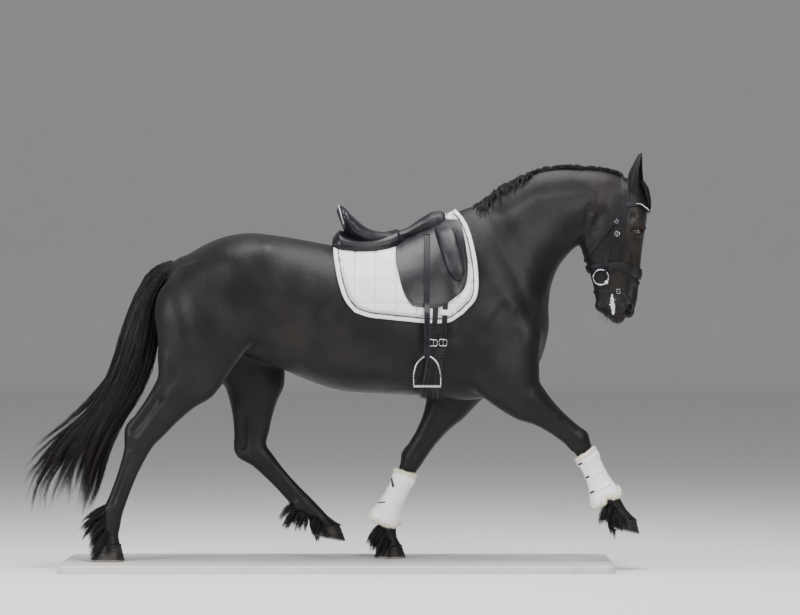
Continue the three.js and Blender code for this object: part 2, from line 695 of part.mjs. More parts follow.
// Boots: a padded sleeve round each fore cannon that widens over the fetlock
const bootSpaces = {};
for (const side of ['left', 'right']) {
  const leg = legs[`front_${side}`];
  const [, knee, fetlock] = leg.joints;
  const run = Math.atan2(fetlock[1] - knee[1], fetlock[0] - knee[0]) + Math.PI / 2;
  const rows = BOOT_PROFILE.map(([way, front, rear, w]) => {
    const [x, z, y] = knee.map((v, k) => v + (fetlock[k] - v) * way);
    return section(
      [x + Math.cos(run) * front, z + Math.sin(run) * front],
      [x - Math.cos(run) * rear, z - Math.sin(run) * rear],
      w, y, 0.46, 2.2, 2.1,
    );
  });
  bootSpaces[`front_${side}`] = loft(rows, BOOT_MESH, GAP);
  parts[`boot_front_${side}`] = largest(loft(rows, BOOT_MESH).subtract(loft(leg.rows, LEG_MESH, GAP)));
}

// Feathers: locks rooted behind each fetlock and pastern that fall over the heels
for (const [name, leg] of Object.entries(legs)) {
  const fetlock = leg.rows.length - 4;
  let hair = parts[`leg_${name}`];
  for (let i = 0; i < FEATHER_LOCKS; i += 1) {
    const low = i >= UPPER_FEATHERS;
    const from = fetlock + (low ? 0.9 : -0.4);
    const around = Math.PI + (low ? (i - UPPER_FEATHERS - 1.5) * 0.8 : (i - 0.5) * 1.2);
    const root = onLoft(leg.rows, from, around, -10);
    const back = unit(minus(onLoft(leg.rows, from, around, 20), onLoft(leg.rows, from, around, 0)));
    const down = unit(minus(onLoft(leg.rows, from + 1, around, 0), onLoft(leg.rows, from, around, 0)));
    const length = FEATHER_LENGTH * (low ? 0.8 : 1.15) * (1 + spread(0.12));
    const path = (s) => {
      const p = root.map((v, k) => v + length * (down[k] * 0.85 * s + back[k] * (0.62 * s - 0.25 * s * s)));
      p[2] -= length * 0.3 * s * s;
      return [p[0], p[1], Math.max(p[2], LOWEST_HAIR + FEATHER_LOCK.thickness / 2)];
    };
    hair = hair.add(lock(FEATHER_LOCK, path, () => back));
  }
  const hoofSpace = loft(hoofRows(leg, GAP), HOOF_MESH, GAP).subtract(legSpace(leg, 0));
  hair = hair.subtract(hoofSpace);
  if (bootSpaces[name]) {
    hair = hair.subtract(bootSpaces[name].subtract(legSpace(leg, GAP / 2)));
  }
  parts[`leg_${name}`] = largest(hair);
}

// Ears: a leaf with its cup cut out towards the front and the outside
const earRows = (side) => EAR.map((row) => row.map((v, i) => (i === 5 ? -side * v : v)));
for (const side of [-1, 1]) {
  const rows = earRows(side);
  const [cupX, cupY, cupZ] = EAR_OPENING;
  const cup = loft(rows, EAR_MESH, -EAR_WALL).translate(cupX, side * cupY, cupZ);
  parts[side < 0 ? 'ear_right' : 'ear_left'] = largest(clear(loft(rows, EAR_MESH), cup, flesh(GAP)));
}
const earSpace = loft(earRows(-1), EAR_MESH, GAP).add(loft(earRows(1), EAR_MESH, GAP));

// Mane: a strip over the crest as its core, and the locks that fall from it
const maneRings = [];
for (const u of [MANE_FROM, ...NECK.keys(), MANE_TO].filter((v) => v >= MANE_FROM && v <= MANE_TO)) {
  const ring = [];
  for (const [steps, out] of [[[-1, 0, 1, 2], MANE_CORE_OUT], [[2, 1, 0, -1], -MANE_CORE_OUT]]) {
    ring.push(...steps.map((j) => onLoft(NECK, u, (2 * Math.PI * j) / NECK_MESH[1], out)));
  }
  maneRings.push(ring);
}
let mane = tube(maneRings);
for (let i = 0; i < MANE_LOCKS; i += 1) {
  const from = MANE_FROM + 0.3 + ((MANE_TO - MANE_FROM - 0.6) * i) / (MANE_LOCKS - 1);
  const reach = 1.7 + spread(0.25);
  const bend = spread(0.12);
  const level = i % 2 ? MANE_LEVEL : 0;
  mane = mane.add(lockOn(NECK, MANE_LOCK, (s) => [
    Math.max(0.2, from - MANE_DRIFT * s + bend * Math.sin(s * 5)),
    0.05 + reach * s,
    HAIR_LIFT * Math.min(1, 0.3 + s) + level * Math.min(1, 4 * s),
  ]));
}
for (let i = 0; i < RUFFLE_LOCKS; i += 1) {
  const from = MANE_FROM + 0.2 + i;
  mane = mane.add(lockOn(NECK, RUFFLE_LOCK, (s) => [
    from - 0.25 * s, -0.02 - 0.5 * s, HAIR_LIFT + 5 * Math.sin(Math.PI * s),
  ]));
}
const headSpace = flesh(STRAP_THICKNESS + 2 * GAP).intersect(across(grownBy(HEADPIECE, GAP)));
parts.mane = largest(clear(mane, flesh(GAP), earSpace, headSpace));

// Forelock: locks from the poll down the forehead, over the browband
let forelock = loft([
  section([1222, 1724], [1190, 1690], 26),
  section([1262, 1706], [1230, 1670], 30),
  section([1286, 1668], [1262, 1650], 20),
], EAR_MESH);
for (let i = 0; i < FORELOCK_LOCKS; i += 1) {
  const side = (i / (FORELOCK_LOCKS - 1) - 0.5) * 1.3;
  const length = 3.3 + spread(0.5);
  forelock = forelock.add(lockOn(HEAD, FORELOCK_LOCK, (s) => [
    1.15 + length * s,
    side * (0.35 + 0.75 * s) + 0.1 * Math.sin(5 * s + i),
    FORELOCK_LIFT + 5 * Math.sin(Math.PI * s) + (i % 2) * 4,
  ]));
}
const browShell = flesh(STRAP_THICKNESS + 1 + GAP).intersect(across(grownBy(BROWBAND, GAP)));
parts.forelock = largest(clear(forelock, flesh(GAP), earSpace, browShell, headSpace));

// Tail: a core down its upper half, and locks that run its whole length and fan out at the tips
const tailMiddle = (u) => {
  const [ax, az, bx, bz, , y] = between(TAIL, u);
  return [(ax + bx) / 2, y, (az + bz) / 2];
};
const inTail = (u, t, share) => {
  const middle = tailMiddle(u);
  return onLoft(TAIL, u, t).map((v, k) => middle[k] + (v - middle[k]) * share);
};
const coreRings = [];
for (let i = 0; i < TAIL_CORE_ROWS; i += 1) {
  const share = i === 0 ? 1 : TAIL_CORE_SHARE * (1 - 0.5 * (i / (TAIL_CORE_ROWS - 1)) ** 2);
  coreRings.push(Array.from({ length: 8 }, (_, j) => inTail(i, (Math.PI * j) / 4, share)));
}
let tail = tube(coreRings);
for (const { count, from, share, twist } of TAIL_TIERS) {
  for (let i = 0; i < count; i += 1) {
    const around = (2 * Math.PI * (i + twist)) / count;
    const outer = Math.max(0, Math.cos(around));
    const to = TAIL.length - 1.4 + spread(0.5) - 1.3 * outer * (i % 2);
    const station = (s) => Math.min(from + (to - from) * s, TAIL.length - 1);
    const path = (s) => {
      const turned = around + 0.35 * Math.sin(2.2 * s);
      const [x, y, z] = inTail(station(s), turned, share * Math.min(1, 0.5 + 2 * s));
      return [x - TAIL_SWEEP * outer * Math.max(0, s - 0.6) ** 1.3 * 3, y, z];
    };
    tail = tail.add(lock(TAIL_LOCK, path, (s) => minus(path(s), tailMiddle(station(s)))));
  }
}
parts.tail = largest(clear(tail, flesh(GAP)));

// Saddle pad, girth and billets
const padTop = PAD_THICKNESS + GAP;
parts.saddle_pad = largest(layer(PAD_OUTLINE, GAP, PAD_THICKNESS));
parts.girth = largest(layer(GIRTH_OUTLINE, GAP, GIRTH_THICKNESS));

// Saddle
const flapTop = padTop + FLAP_THICKNESS;
const seatSpace = loft(SEAT, SEAT_MESH, GAP);
parts.saddle_seat = largest(loft(SEAT, SEAT_MESH).subtract(flesh(padTop)));
for (const [name, sign] of [['right', -1], ['left', 1]]) {
  const [y0, y1] = sign < 0 ? [-WHOLE, -FLAPS_APART] : [FLAPS_APART, WHOLE];
  const flap = layer(FLAP_OUTLINE, padTop, flapTop, y0, y1);
  parts[`saddle_flap_${name}`] = largest(clear(flap, seatSpace));
  const panel = layer(PANEL_OUTLINE, padTop, padTop + PANEL_THICKNESS, y0, y1);
  const flapSide = across(grownBy(FLAP_OUTLINE, GAP), y0, y1);
  parts[`saddle_panel_${name}`] = largest(clear(panel, seatSpace, flapSide));
  const block = KNEE_BLOCK.map(([x, z, ...others]) => {
    others[3] = sideOf(x - BLOCK_SET_BACK, z, flapTop) * sign;
    return [x, z, ...others];
  });
  parts[`knee_block_${name}`] = largest(clear(loft(block, BLOCK_MESH), flesh(flapTop + GAP), seatSpace));
  parts[`billet_${name}`] = largest(layer(BILLET_OUTLINE, padTop, padTop + STRAP_THICKNESS, y0, y1));
}

// Stirrup leathers and irons
for (const [name, sign] of [['right', -1], ['left', 1]]) {
  const rings = [];
  for (let i = 0; i <= LEATHER_STEPS; i += 1) {
    const z = LEATHER_TOP + ((LEATHER_BOTTOM - LEATHER_TOP) * i) / LEATHER_STEPS;
    const hanging = HANGING_OUT - LEATHER_THICKNESS;
    const lying = sideOf(STIRRUP_X, z, flapTop + GAP);
    const near = z < LEATHER_FREE_BELOW ? hanging : Math.min(lying, hanging);
    const far = near + LEATHER_THICKNESS;
    const [rear, front] = [STIRRUP_X - LEATHER_WIDTH / 2, STIRRUP_X + LEATHER_WIDTH / 2];
    rings.push([[rear, near], [front, near], [front, far], [rear, far]].map(([x, y]) => [x, sign * y, z]));
  }
  parts[`stirrup_leather_${name}`] = largest(clear(tube(rings), seatSpace, flesh(flapTop + GAP)));
  const arch = new THREE.CatmullRomCurve3([
    new THREE.Vector3(-IRON_HALF_WIDTH, 0, -IRON_HEIGHT),
    new THREE.Vector3(-IRON_HALF_WIDTH, 0, -IRON_HEIGHT * 0.62),
    new THREE.Vector3(-IRON_HALF_WIDTH * 0.72, 0, -IRON_HEIGHT * 0.22),
    new THREE.Vector3(0, 0, 0),
    new THREE.Vector3(IRON_HALF_WIDTH * 0.72, 0, -IRON_HEIGHT * 0.22),
    new THREE.Vector3(IRON_HALF_WIDTH, 0, -IRON_HEIGHT * 0.62),
    new THREE.Vector3(IRON_HALF_WIDTH, 0, -IRON_HEIGHT),
  ]);
  const rodShape = new THREE.Shape();
  rodShape.absarc(0, 0, IRON_ROD, 0, Math.PI * 2);
  const rod = new THREE.ExtrudeGeometry(rodShape, { steps: 12, extrudePath: arch, curveSegments: 3 });
  let iron = fromGeometry(rod);
  const tread = new THREE.BoxGeometry(2 * IRON_HALF_WIDTH + 2 * IRON_ROD, TREAD_DEPTH, TREAD_THICKNESS);
  tread.translate(0, 0, -IRON_HEIGHT);
  iron = iron.add(fromGeometry(tread));
  const plumb = sign * (HANGING_OUT - LEATHER_THICKNESS / 2);
  parts[`stirrup_iron_${name}`] = largest(iron.translate(STIRRUP_X, plumb, LEATHER_BOTTOM - IRON_ROD - GAP));
}

// Bridle
const strap = (outline, thick = STRAP_THICKNESS, y0 = -BRIDLE, y1 = BRIDLE) => (
  layer(outline, GAP, thick, y0, y1)
);
const spaceOf = (outline) => across(grownBy(outline, GAP), -BRIDLE, BRIDLE);
parts.noseband = largest(strap(NOSEBAND, NOSEBAND_THICKNESS));
parts.flash_strap = largest(clear(strap(FLASH_STRAP), spaceOf(NOSEBAND)));
parts.browband = largest(clear(strap(BROWBAND, STRAP_THICKNESS + 1), earSpace));
const browSpace = spaceOf(BROWBAND);
parts.headpiece = largest(clear(strap(HEADPIECE), browSpace, earSpace));
parts.throatlatch = largest(clear(strap(THROATLATCH), browSpace, earSpace, spaceOf(HEADPIECE)));
const throatSpace = spaceOf(THROATLATCH);
const noseSpace = flesh(NOSEBAND_THICKNESS + GAP).intersect(spaceOf(NOSEBAND));
for (const [name, sign] of [['right', -1], ['left', 1]]) {
  const [y0, y1] = sign < 0 ? [-BRIDLE, -1] : [1, BRIDLE];
  parts[`noseband_hanger_${name}`] = largest(
    clear(strap(NOSEBAND_HANGER, STRAP_THICKNESS, y0, y1), browSpace, noseSpace, throatSpace),
  );
  const torus = (wire) => {
    const ring = new THREE.TorusGeometry(BIT_RING_RADIUS, wire, 5, 12);
    ring.rotateX(Math.PI / 2);
    ring.translate(BIT_RING[0], sign * BIT_RING[1], BIT_RING[2]);
    return fromGeometry(ring);
  };
  parts[`bit_ring_${name}`] = torus(BIT_WIRE);
  // The cheekpiece crosses over the noseband and ends in a loop round the ring
  const crossing = strap(CHEEKPIECE, NOSEBAND_THICKNESS + STRAP_THICKNESS, y0, y1)
    .intersect(across(grownBy(NOSEBAND, 2 * STRAP_THICKNESS), y0, y1));
  const loop = new THREE.BoxGeometry(BIT_LOOP[0], BIT_OUT - BIT_LOOP[1], BIT_LOOP[2]);
  loop.translate(CHEEKPIECE[5][0] - 8, (sign * (BIT_OUT + BIT_LOOP[1])) / 2, CHEEKPIECE[5][1] + 6);
  const cheek = strap(CHEEKPIECE, STRAP_THICKNESS, y0, y1).add(crossing);
  parts[`cheekpiece_${name}`] = largest(clear(
    cheek.add(fromGeometry(loop).subtract(flesh(GAP))),
    browSpace, noseSpace, throatSpace, spaceOf(NOSEBAND_HANGER), torus(BIT_WIRE + GAP),
  ));
  const barrel = new THREE.CylinderGeometry(BIT_BARREL_RADIUS, BIT_BARREL_RADIUS, BIT_OUT, 12);
  barrel.translate(BIT_BARREL_AT[0], (sign * BIT_OUT) / 2, BIT_BARREL_AT[1]);
  parts[`bit_barrel_${name}`] = largest(
    clear(fromGeometry(barrel), flesh(GAP), torus(BIT_WIRE + GAP), noseSpace),
  );
}

// Base with rounded corners
const baseShape = new THREE.Shape();
const half = BASE_WIDTH / 2;
baseShape.moveTo(BASE_REAR + BASE_CORNER, -half);
baseShape.absarc(BASE_FRONT - BASE_CORNER, -half + BASE_CORNER, BASE_CORNER, -Math.PI / 2, 0);
baseShape.absarc(BASE_FRONT - BASE_CORNER, half - BASE_CORNER, BASE_CORNER, 0, Math.PI / 2);
baseShape.absarc(BASE_REAR + BASE_CORNER, half - BASE_CORNER, BASE_CORNER, Math.PI / 2, Math.PI);
baseShape.absarc(BASE_REAR + BASE_CORNER, -half + BASE_CORNER, BASE_CORNER, Math.PI, Math.PI * 1.5);
const baseGeometry = new THREE.ExtrudeGeometry(
  baseShape,
  { depth: BASE_THICKNESS, bevelEnabled: false, curveSegments: 2 },
);
baseGeometry.translate(0, 0, -BASE_THICKNESS - GAP);
parts.stand_base = fromGeometry(baseGeometry);

// Finishes
const finish = (color, roughness, metalness = 0) => (
  new THREE.MeshStandardMaterial({ color, roughness, metalness })
);
const COAT = finish(0x282628, 0.55);
const HAIR = finish(0x1c1b1d, 0.6);
const HORN = finish(0x3a3735, 0.6);
const EYE_GLASS = finish(0x120d0b, 0.1);
const LEATHER = finish(0x17181c, 0.35);
const CLOTH = finish(0xe6e6e6, 0.9);
const FLEECE = finish(0xe9e4da, 0.95);
const STEEL = finish(0xc0c2c4, 0.25, 1);
const BASE = finish(0xd9d6cf, 0.8);
const finishOf = (name) => {
  const rules = [
    ['eye_', EYE_GLASS], ['hoof_', HORN], ['boot_', FLEECE], ['saddle_pad', CLOTH], ['stand_', BASE],
    ['bit_', STEEL], ['stirrup_iron', STEEL], ['mane', HAIR], ['forelock', HAIR], ['tail', HAIR],
    ['head', COAT], ['neck', COAT], ['torso', COAT], ['leg_', COAT], ['ear_', COAT],
  ];
  const exact = name === 'headpiece' ? null : rules.find(([start]) => name.startsWith(start));
  return exact ? exact[1] : LEATHER;
};

const horse = new THREE.Group();
for (const [name, shape] of Object.entries(parts)) {
  const { vertProperties, triVerts } = shape.getMesh();
  const geometry = new THREE.BufferGeometry();
  geometry.setAttribute('position', new THREE.BufferAttribute(Float32Array.from(vertProperties), 3));
  geometry.setIndex([...triVerts]);
  const mesh = new THREE.Mesh(geometry, finishOf(name));
  mesh.name = name;
  horse.add(mesh);
}

// The origin is at the middle of the box round the whole, on its underside
const box = new THREE.Box3().setFromObject(horse);
const centre = box.getCenter(new THREE.Vector3());
horse.position.set(-centre.x, -centre.y, -box.min.z);
const model = new THREE.Group();
model.add(horse);

export default model;
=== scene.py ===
import bpy
import numpy as np
import openvdb
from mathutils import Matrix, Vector


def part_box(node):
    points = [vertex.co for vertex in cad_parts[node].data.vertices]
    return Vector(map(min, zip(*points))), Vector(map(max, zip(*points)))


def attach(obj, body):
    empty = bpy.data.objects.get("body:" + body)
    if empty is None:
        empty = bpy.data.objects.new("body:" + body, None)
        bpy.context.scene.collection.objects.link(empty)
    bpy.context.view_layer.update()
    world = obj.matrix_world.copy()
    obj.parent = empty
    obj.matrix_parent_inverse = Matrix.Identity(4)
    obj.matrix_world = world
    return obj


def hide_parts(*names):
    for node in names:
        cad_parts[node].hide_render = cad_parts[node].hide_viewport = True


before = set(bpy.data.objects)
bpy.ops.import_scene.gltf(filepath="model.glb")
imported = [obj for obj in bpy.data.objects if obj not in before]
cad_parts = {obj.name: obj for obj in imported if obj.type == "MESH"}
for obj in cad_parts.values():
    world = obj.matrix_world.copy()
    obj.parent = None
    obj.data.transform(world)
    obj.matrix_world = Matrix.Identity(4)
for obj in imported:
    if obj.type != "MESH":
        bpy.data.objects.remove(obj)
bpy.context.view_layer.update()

# The base board fixes where the horse stands. The tables of the horse are in millimetres from the
# ground between its feet; place() carries them to the frame.
BASE_REAR = -1330
BASE_GAP = 0.4
base_low, base_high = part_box("stand_base")
ORIGIN = np.array([base_low.x - BASE_REAR / 1000, 0, base_high.z + BASE_GAP / 1000])


def place(points):
    """Points in the horse's millimetres as points of the frame in metres: p / 1000 + ORIGIN."""
    return np.asarray(points, float) / 1000 + ORIGIN


# Camera: level and square to the horse's right side, as far back as its narrow perspective tells,
# with the horizon a little under the middle of the picture.
CAMERA_BACK = 16.0
CAMERA_X = 180
CAMERA_Z = 1100
LENS = 160
HORIZON_BELOW = 7.5 / 800
camera = bpy.data.objects.new("camera", bpy.data.cameras.new("camera"))
bpy.context.scene.collection.objects.link(camera)
bpy.context.scene.camera = camera
camera.location = place([CAMERA_X, -CAMERA_BACK * 1000, CAMERA_Z])
camera.rotation_euler = (np.pi / 2, 0, 0)
camera.data.lens = LENS
camera.data.sensor_width = 36
camera.data.shift_y = HORIZON_BELOW
camera.data.clip_end = 80

# Body: one hide over torso, neck, head and legs. Its form is a set of lofts through sections, blended
# where they meet, with the eye sockets, nostrils and mouth cut in and the muscles raised on it.
# A section runs from point a to point b as [x, z]; w is its half width, y its middle, m the share of
# the way from a to b where it is widest, ea and eb how square its two halves are.
def section(a, b, w, y=0, m=0.5, ea=2, eb=2):
    """One row of a loft table: a, b, w, y, m, ea, eb in one flat list."""
    return [*a, *b, w, y, m, ea, eb]


TORSO = np.array([
    section([-880, 1240], [-880, 1140], 45),
    section([-846, 1325], [-846, 1070], 105, 0, 0.45, 2.1, 2),
    section([-765, 1380], [-775, 1015], 172, 0, 0.42, 2.1, 2),
    section([-650, 1440], [-665, 970], 222, 0, 0.42, 2.2, 2),
    section([-518, 1470], [-526, 930], 256, 0, 0.42, 2.2, 2),
    section([-382, 1460], [-382, 870], 270, 0, 0.42, 2.2, 2),
    section([-250, 1438], [-250, 812], 276, 0, 0.48, 2.2, 2.1),
    section([-100, 1412], [-100, 762], 296, 0, 0.54, 2.1, 2.1),
    section([100, 1412], [100, 746], 303, 0, 0.57, 1.95, 2.1),
    section([270, 1464], [270, 736], 280, 0, 0.6, 1.75, 2.1),
    section([385, 1525], [385, 722], 250, 0, 0.62, 1.6, 2.1),
    section([486, 1568], [486, 716], 226, 0, 0.64, 1.55, 2),
    section([590, 1552], [600, 732], 212, 0, 0.6, 1.8, 2),
    section([680, 1450], [696, 768], 198, 0, 0.55),
    section([758, 1316], [776, 830], 170),
    section([812, 1186], [822, 935], 116),
    section([834, 1100], [838, 1010], 45),
])
NECK = np.array([
    section([430, 1500], [684, 798], 180, 0, 0.6, 1.8, 2),
    section([500, 1566], [790, 900], 178, 0, 0.6, 1.8, 2),
    section([565, 1606], [832, 1010], 160, 0, 0.6, 1.7, 2.1),
    section([640, 1668], [845, 1120], 140, 0, 0.6, 1.7, 2.1),
    section([722, 1707], [858, 1220], 121, 0, 0.6, 1.7, 2.1),
    section([810, 1745], [890, 1310], 107, 0, 0.6, 1.75, 2.1),
    section([900, 1758], [934, 1370], 97, 0, 0.58, 1.75, 2.1),
    section([995, 1755], [985, 1418], 90, 0, 0.55, 1.8, 2.1),
    section([1090, 1748], [1032, 1466], 84, 0, 0.5, 1.9, 2.1),
    section([1166, 1724], [1082, 1520], 72),
    section([1208, 1690], [1122, 1556], 58),
])
HEAD = np.array([
    section([1180, 1706], [1046, 1560], 54, 0, 0.45),
    section([1233, 1704], [1010, 1518], 72, 0, 0.4, 2.1, 2),
    section([1270, 1672], [990, 1474], 86, 0, 0.35, 2.3, 2),
    section([1288, 1618], [988, 1428], 98, 0, 0.3, 2.4, 1.9),
    section([1292, 1560], [997, 1388], 105, 0, 0.28, 2.5, 1.8),
    section([1286, 1500], [1010, 1348], 102, 0, 0.28, 2.4, 1.8),
    section([1276, 1438], [1026, 1307], 85, 0, 0.33, 2.2, 1.9),
    section([1268, 1374], [1040, 1262], 69, 0, 0.38, 2.1, 2),
    section([1262, 1312], [1051, 1219], 58, 0, 0.42, 2.1, 2.1),
    section([1256, 1253], [1058, 1176], 52, 0, 0.45, 2.1, 2.2),
    section([1252, 1204], [1071, 1140], 53, 0, 0.42, 2.3, 2.2),
    section([1245, 1158], [1092, 1107], 55, 0, 0.4, 2.4, 2.2),
    section([1228, 1116], [1116, 1084], 47, 0, 0.45, 2.3, 2.2),
    section([1200, 1090], [1146, 1072], 26),
])
# The legs: each joint is [x, z, y]; a profile row is the bone, the way down it, the reach to the front
# and the rear of its middle, and the half width.
LEGS = {
    "front_right": {
        "top": [
            section([722, 1210], [412, 1070], 48, -150),
            section([806, 1010], [456, 890], 76, -150),
            section([802, 890], [500, 792], 86, -148),
            section([804, 806], [556, 726], 84, -145),
        ],
        "joints": [[736, 727, -142], [980, 540, -125], [1110, 294, -120], [1186, 184, -120]],
        "toe": [1248, 122],
        "heel": [1110, 153],
    },
    "front_left": {
        "top": [
            section([734, 1214], [362, 1068], 48, 150),
            section([798, 1009], [362, 887], 76, 150),
            section([702, 828], [325, 823], 86, 148),
            section([552, 714], [325, 769], 84, 145),
        ],
        "joints": [[395, 696, 142], [237, 449, 125], [120, 172, 120], [140, 50, 120]],
        "toe": [205, 0],
        "heel": [62, 0],
    },
    "hind_right": {
        "top": [
            section([-436, 1372], [-794, 1310], 60, -120),
            section([-391, 1234], [-890, 1212], 98, -138),
            section([-409, 1113], [-914, 1113], 116, -146, 0.5, 2, 2.2),
            section([-453, 1011], [-903, 1011], 113, -150, 0.5, 2, 2.2),
            section([-520, 922], [-894, 913], 98, -152, 0.5, 2, 2.1),
        ],
        "joints": [[-748, 837, -148], [-978, 545, -116], [-1102, 212, -113], [-1119, 72, -113]],
        "toe": [-1050, 0],
        "heel": [-1202, 0],
    },
    "hind_left": {
        "top": [
            section([-428, 1377], [-808, 1313], 60, 120),
            section([-347, 1223], [-891, 1204], 98, 138),
            section([-310, 1086], [-864, 1068], 116, 146, 0.5, 2, 2.2),
            section([-320, 977], [-792, 941], 110, 150, 0.5, 2, 2.2),
            section([-342, 882], [-701, 846], 94, 152, 0.5, 2, 2.1),
        ],
        "joints": [[-482, 792, 148], [-486, 492, 116], [-256, 245, 113], [-146, 142, 113]],
        "toe": [-69, 76],
        "heel": [-222, 103],
    },
}
FORE_PROFILE = [
    [0, 0.04, 100, 100, 75], [0, 0.3, 74, 72, 64], [0, 0.58, 58, 56, 54], [0, 0.84, 52, 53, 48],
    [1, 0, 51, 51, 48], [1, 0.14, 42, 44, 41], [1, 0.3, 34, 37, 30], [1, 0.75, 32, 36, 28],
    [2, 0, 40, 44, 37], [2, 0.35, 37, 40, 34], [2, 0.68, 34, 36, 33], [2, 1, 46, 47, 49],
]
HIND_PROFILE = [
    [0, 0.05, 132, 138, 78], [0, 0.3, 104, 110, 62], [0, 0.55, 84, 94, 50], [0, 0.8, 74, 88, 42],
    [1, 0, 66, 82, 43], [1, 0.2, 52, 56, 38], [1, 0.42, 43, 45, 29], [1, 0.8, 40, 43, 28],
    [2, 0, 43, 47, 37], [2, 0.4, 40, 42, 34], [2, 0.72, 38, 38, 34], [2, 1, 50, 50, 51],
]
CORONET_RISE = 0.2
CORONET_LEAN = 0.7


def leg_rows(leg, profile):
    """The rows of a leg: its top rows, then each profile row set square to its bone, the square turned
    by half the bend towards the next bone near a joint, and towards the sole's line at the coronet."""
    joints = np.array(leg["joints"], float)
    toe, heel = np.array(leg["toe"]), np.array(leg["heel"])
    bones = np.diff(joints[:, :2], axis=0)
    headings = np.arctan2(bones[:, 1], bones[:, 0])
    sole = np.arctan2(*(toe - heel)[::-1]) + CORONET_RISE
    rows = list(leg["top"])
    for bone, way, front, rear, w in profile:
        here = headings[bone]
        before = headings[max(bone - 1, 0)]
        after = headings[min(bone + 1, 2)]
        bend = (before - here) * (0.5 - way) if way < 0.5 else (after - here) * (way - 0.5)
        angle = here + bend + np.pi / 2
        if bone == 2:
            angle += (sole - angle) * CORONET_LEAN * way**2
        normal = np.array([np.cos(angle), np.sin(angle)])
        x, z, y = joints[bone] + (joints[bone + 1] - joints[bone]) * way
        middle = np.array([x, z])
        rows.append(section(middle + normal * front, middle - normal * rear, w, y, 0.5, 2.15, 2.15))
    return np.array(rows)


for name, leg in LEGS.items():
    leg["rows"] = leg_rows(leg, FORE_PROFILE if name.startswith("front") else HIND_PROFILE)


def between(rows, u):
    """Rows at stations u: a cubic Hermite curve through all columns, with its slopes weighed by the
    distances between the sections' middles."""
    u = np.clip(np.asarray(u, float), 0, len(rows) - 1)
    i = np.minimum(u.astype(int), len(rows) - 2)
    f = (u - i)[..., None]
    step = np.diff(rows, axis=0)
    middle_step = np.hypot(step[:, 0] + step[:, 2], step[:, 1] + step[:, 3]) / 2
    h = np.maximum(1, np.hypot(middle_step, step[:, 5]))
    rate = step / h[:, None]
    weighed = rate[1:] * h[:-1, None] + rate[:-1] * h[1:, None]
    slope = np.vstack([rate[:1], weighed / (h[1:] + h[:-1])[:, None], rate[-1:]])
    h = h[i][..., None]
    return (
        (2 * f**3 - 3 * f**2 + 1) * rows[i]
        + (f**3 - 2 * f**2 + f) * h * slope[i]
        + (3 * f**2 - 2 * f**3) * rows[i + 1]
        + (f**3 - f**2) * h * slope[i + 1]
    )


def on_loft(rows, u, t, out=0):
    """Points of a loft at stations u and angles t: t = 0 at a, 90 degrees at the left. Each half is a
    superellipse, |cos t| to 2/e along the section and |sin t| to 2/e across, all lifted by out."""
    u, t, out = np.broadcast_arrays(np.asarray(u, float), np.asarray(t, float), np.asarray(out, float))
    ax, az, bx, bz, w, y, m, ea, eb = np.moveaxis(between(rows, u), -1, 0)
    c, s = np.cos(t), np.sin(t)
    upper = c > 0
    power = 2 / np.where(upper, ea, eb)
    mx, mz = ax + (bx - ax) * m, az + (bz - az) * m
    ex, ez = np.where(upper, ax, bx) - mx, np.where(upper, az, bz) - mz
    along = np.abs(c) ** power * (1 + out / np.maximum(np.hypot(ex, ez), 1e-6))
    side = np.sign(s) * np.abs(s) ** power * (np.maximum(w, 1) + out)
    return np.stack([mx + ex * along, y + side, mz + ez * along], -1)


def grid_faces(rows, columns, closed=True):
    """The quads of a grid of points, row after row; closed joins the last column to the first."""
    i, j = np.meshgrid(np.arange(rows - 1), np.arange(columns if closed else columns - 1), indexing="ij")
    k = (j + 1) % columns
    quads = np.stack([i * columns + j, i * columns + k, (i + 1) * columns + k, (i + 1) * columns + j], -1)
    return quads.reshape(-1, 4)


def closed_tube(points):
    """A tube through rings of points, shape (rings, n, 3), its ends closed by fans to their middles:
    the points as one list, its quads and its triangles."""
    rings, n = points.shape[:2]
    middles = points[[0, -1]].mean(axis=1)
    j = np.arange(n)
    k = (j + 1) % n
    first, last = rings * n, (rings - 1) * n
    fans = np.concatenate([
        np.stack([np.full(n, first), k, j], -1),
        np.stack([np.full(n, first + 1), last + j, last + k], -1),
    ])
    return np.concatenate([points.reshape(-1, 3), middles]), grid_faces(rings, n), fans


def loft(rows, per_span, sides, out=0):
    """The closed loft of a table: on_loft() over even stations and angles."""
    u = np.linspace(0, len(rows) - 1, (len(rows) - 1) * per_span + 1)
    t = np.arange(sides) * 2 * np.pi / sides
    return closed_tube(on_loft(rows, u[:, None], t[None, :], out))


def ball(centre, radii, around=32, down=17):
    """An ellipsoid: centre + radii * (sin a cos b, sin a sin b, cos a), its poles as small rings."""
    a = np.linspace(0.001, np.pi - 0.001, down)[:, None]
    b = (np.arange(around) * 2 * np.pi / around)[None, :]
    unit = np.stack([np.sin(a) * np.cos(b), np.sin(a) * np.sin(b), np.cos(a) + 0 * b], -1)
    return closed_tube(np.asarray(centre) + unit[::-1] * np.asarray(radii))


# The hide is meshed on an even grid of voxels, in a space where the head is drawn larger.
VOXEL = 6.2
BAND = 60 / VOXEL
MIDDLE_OF_HEAD = np.array([1155, 0, 1345])
MAGNIFY = 1.0
MAGNIFY_REACH = 600
COAT_DEPTH = 1.5
SKIN_TRIANGLES = 196000


def magnified(points):
    """p -> c + (p - c)(1 + MAGNIFY exp(-(r / reach)^2)), r the distance from the head's middle c."""
    away = points - MIDDLE_OF_HEAD
    r = np.linalg.norm(away, axis=-1, keepdims=True)
    return MIDDLE_OF_HEAD + away * (1 + MAGNIFY * np.exp(-((r / MAGNIFY_REACH) ** 2)))


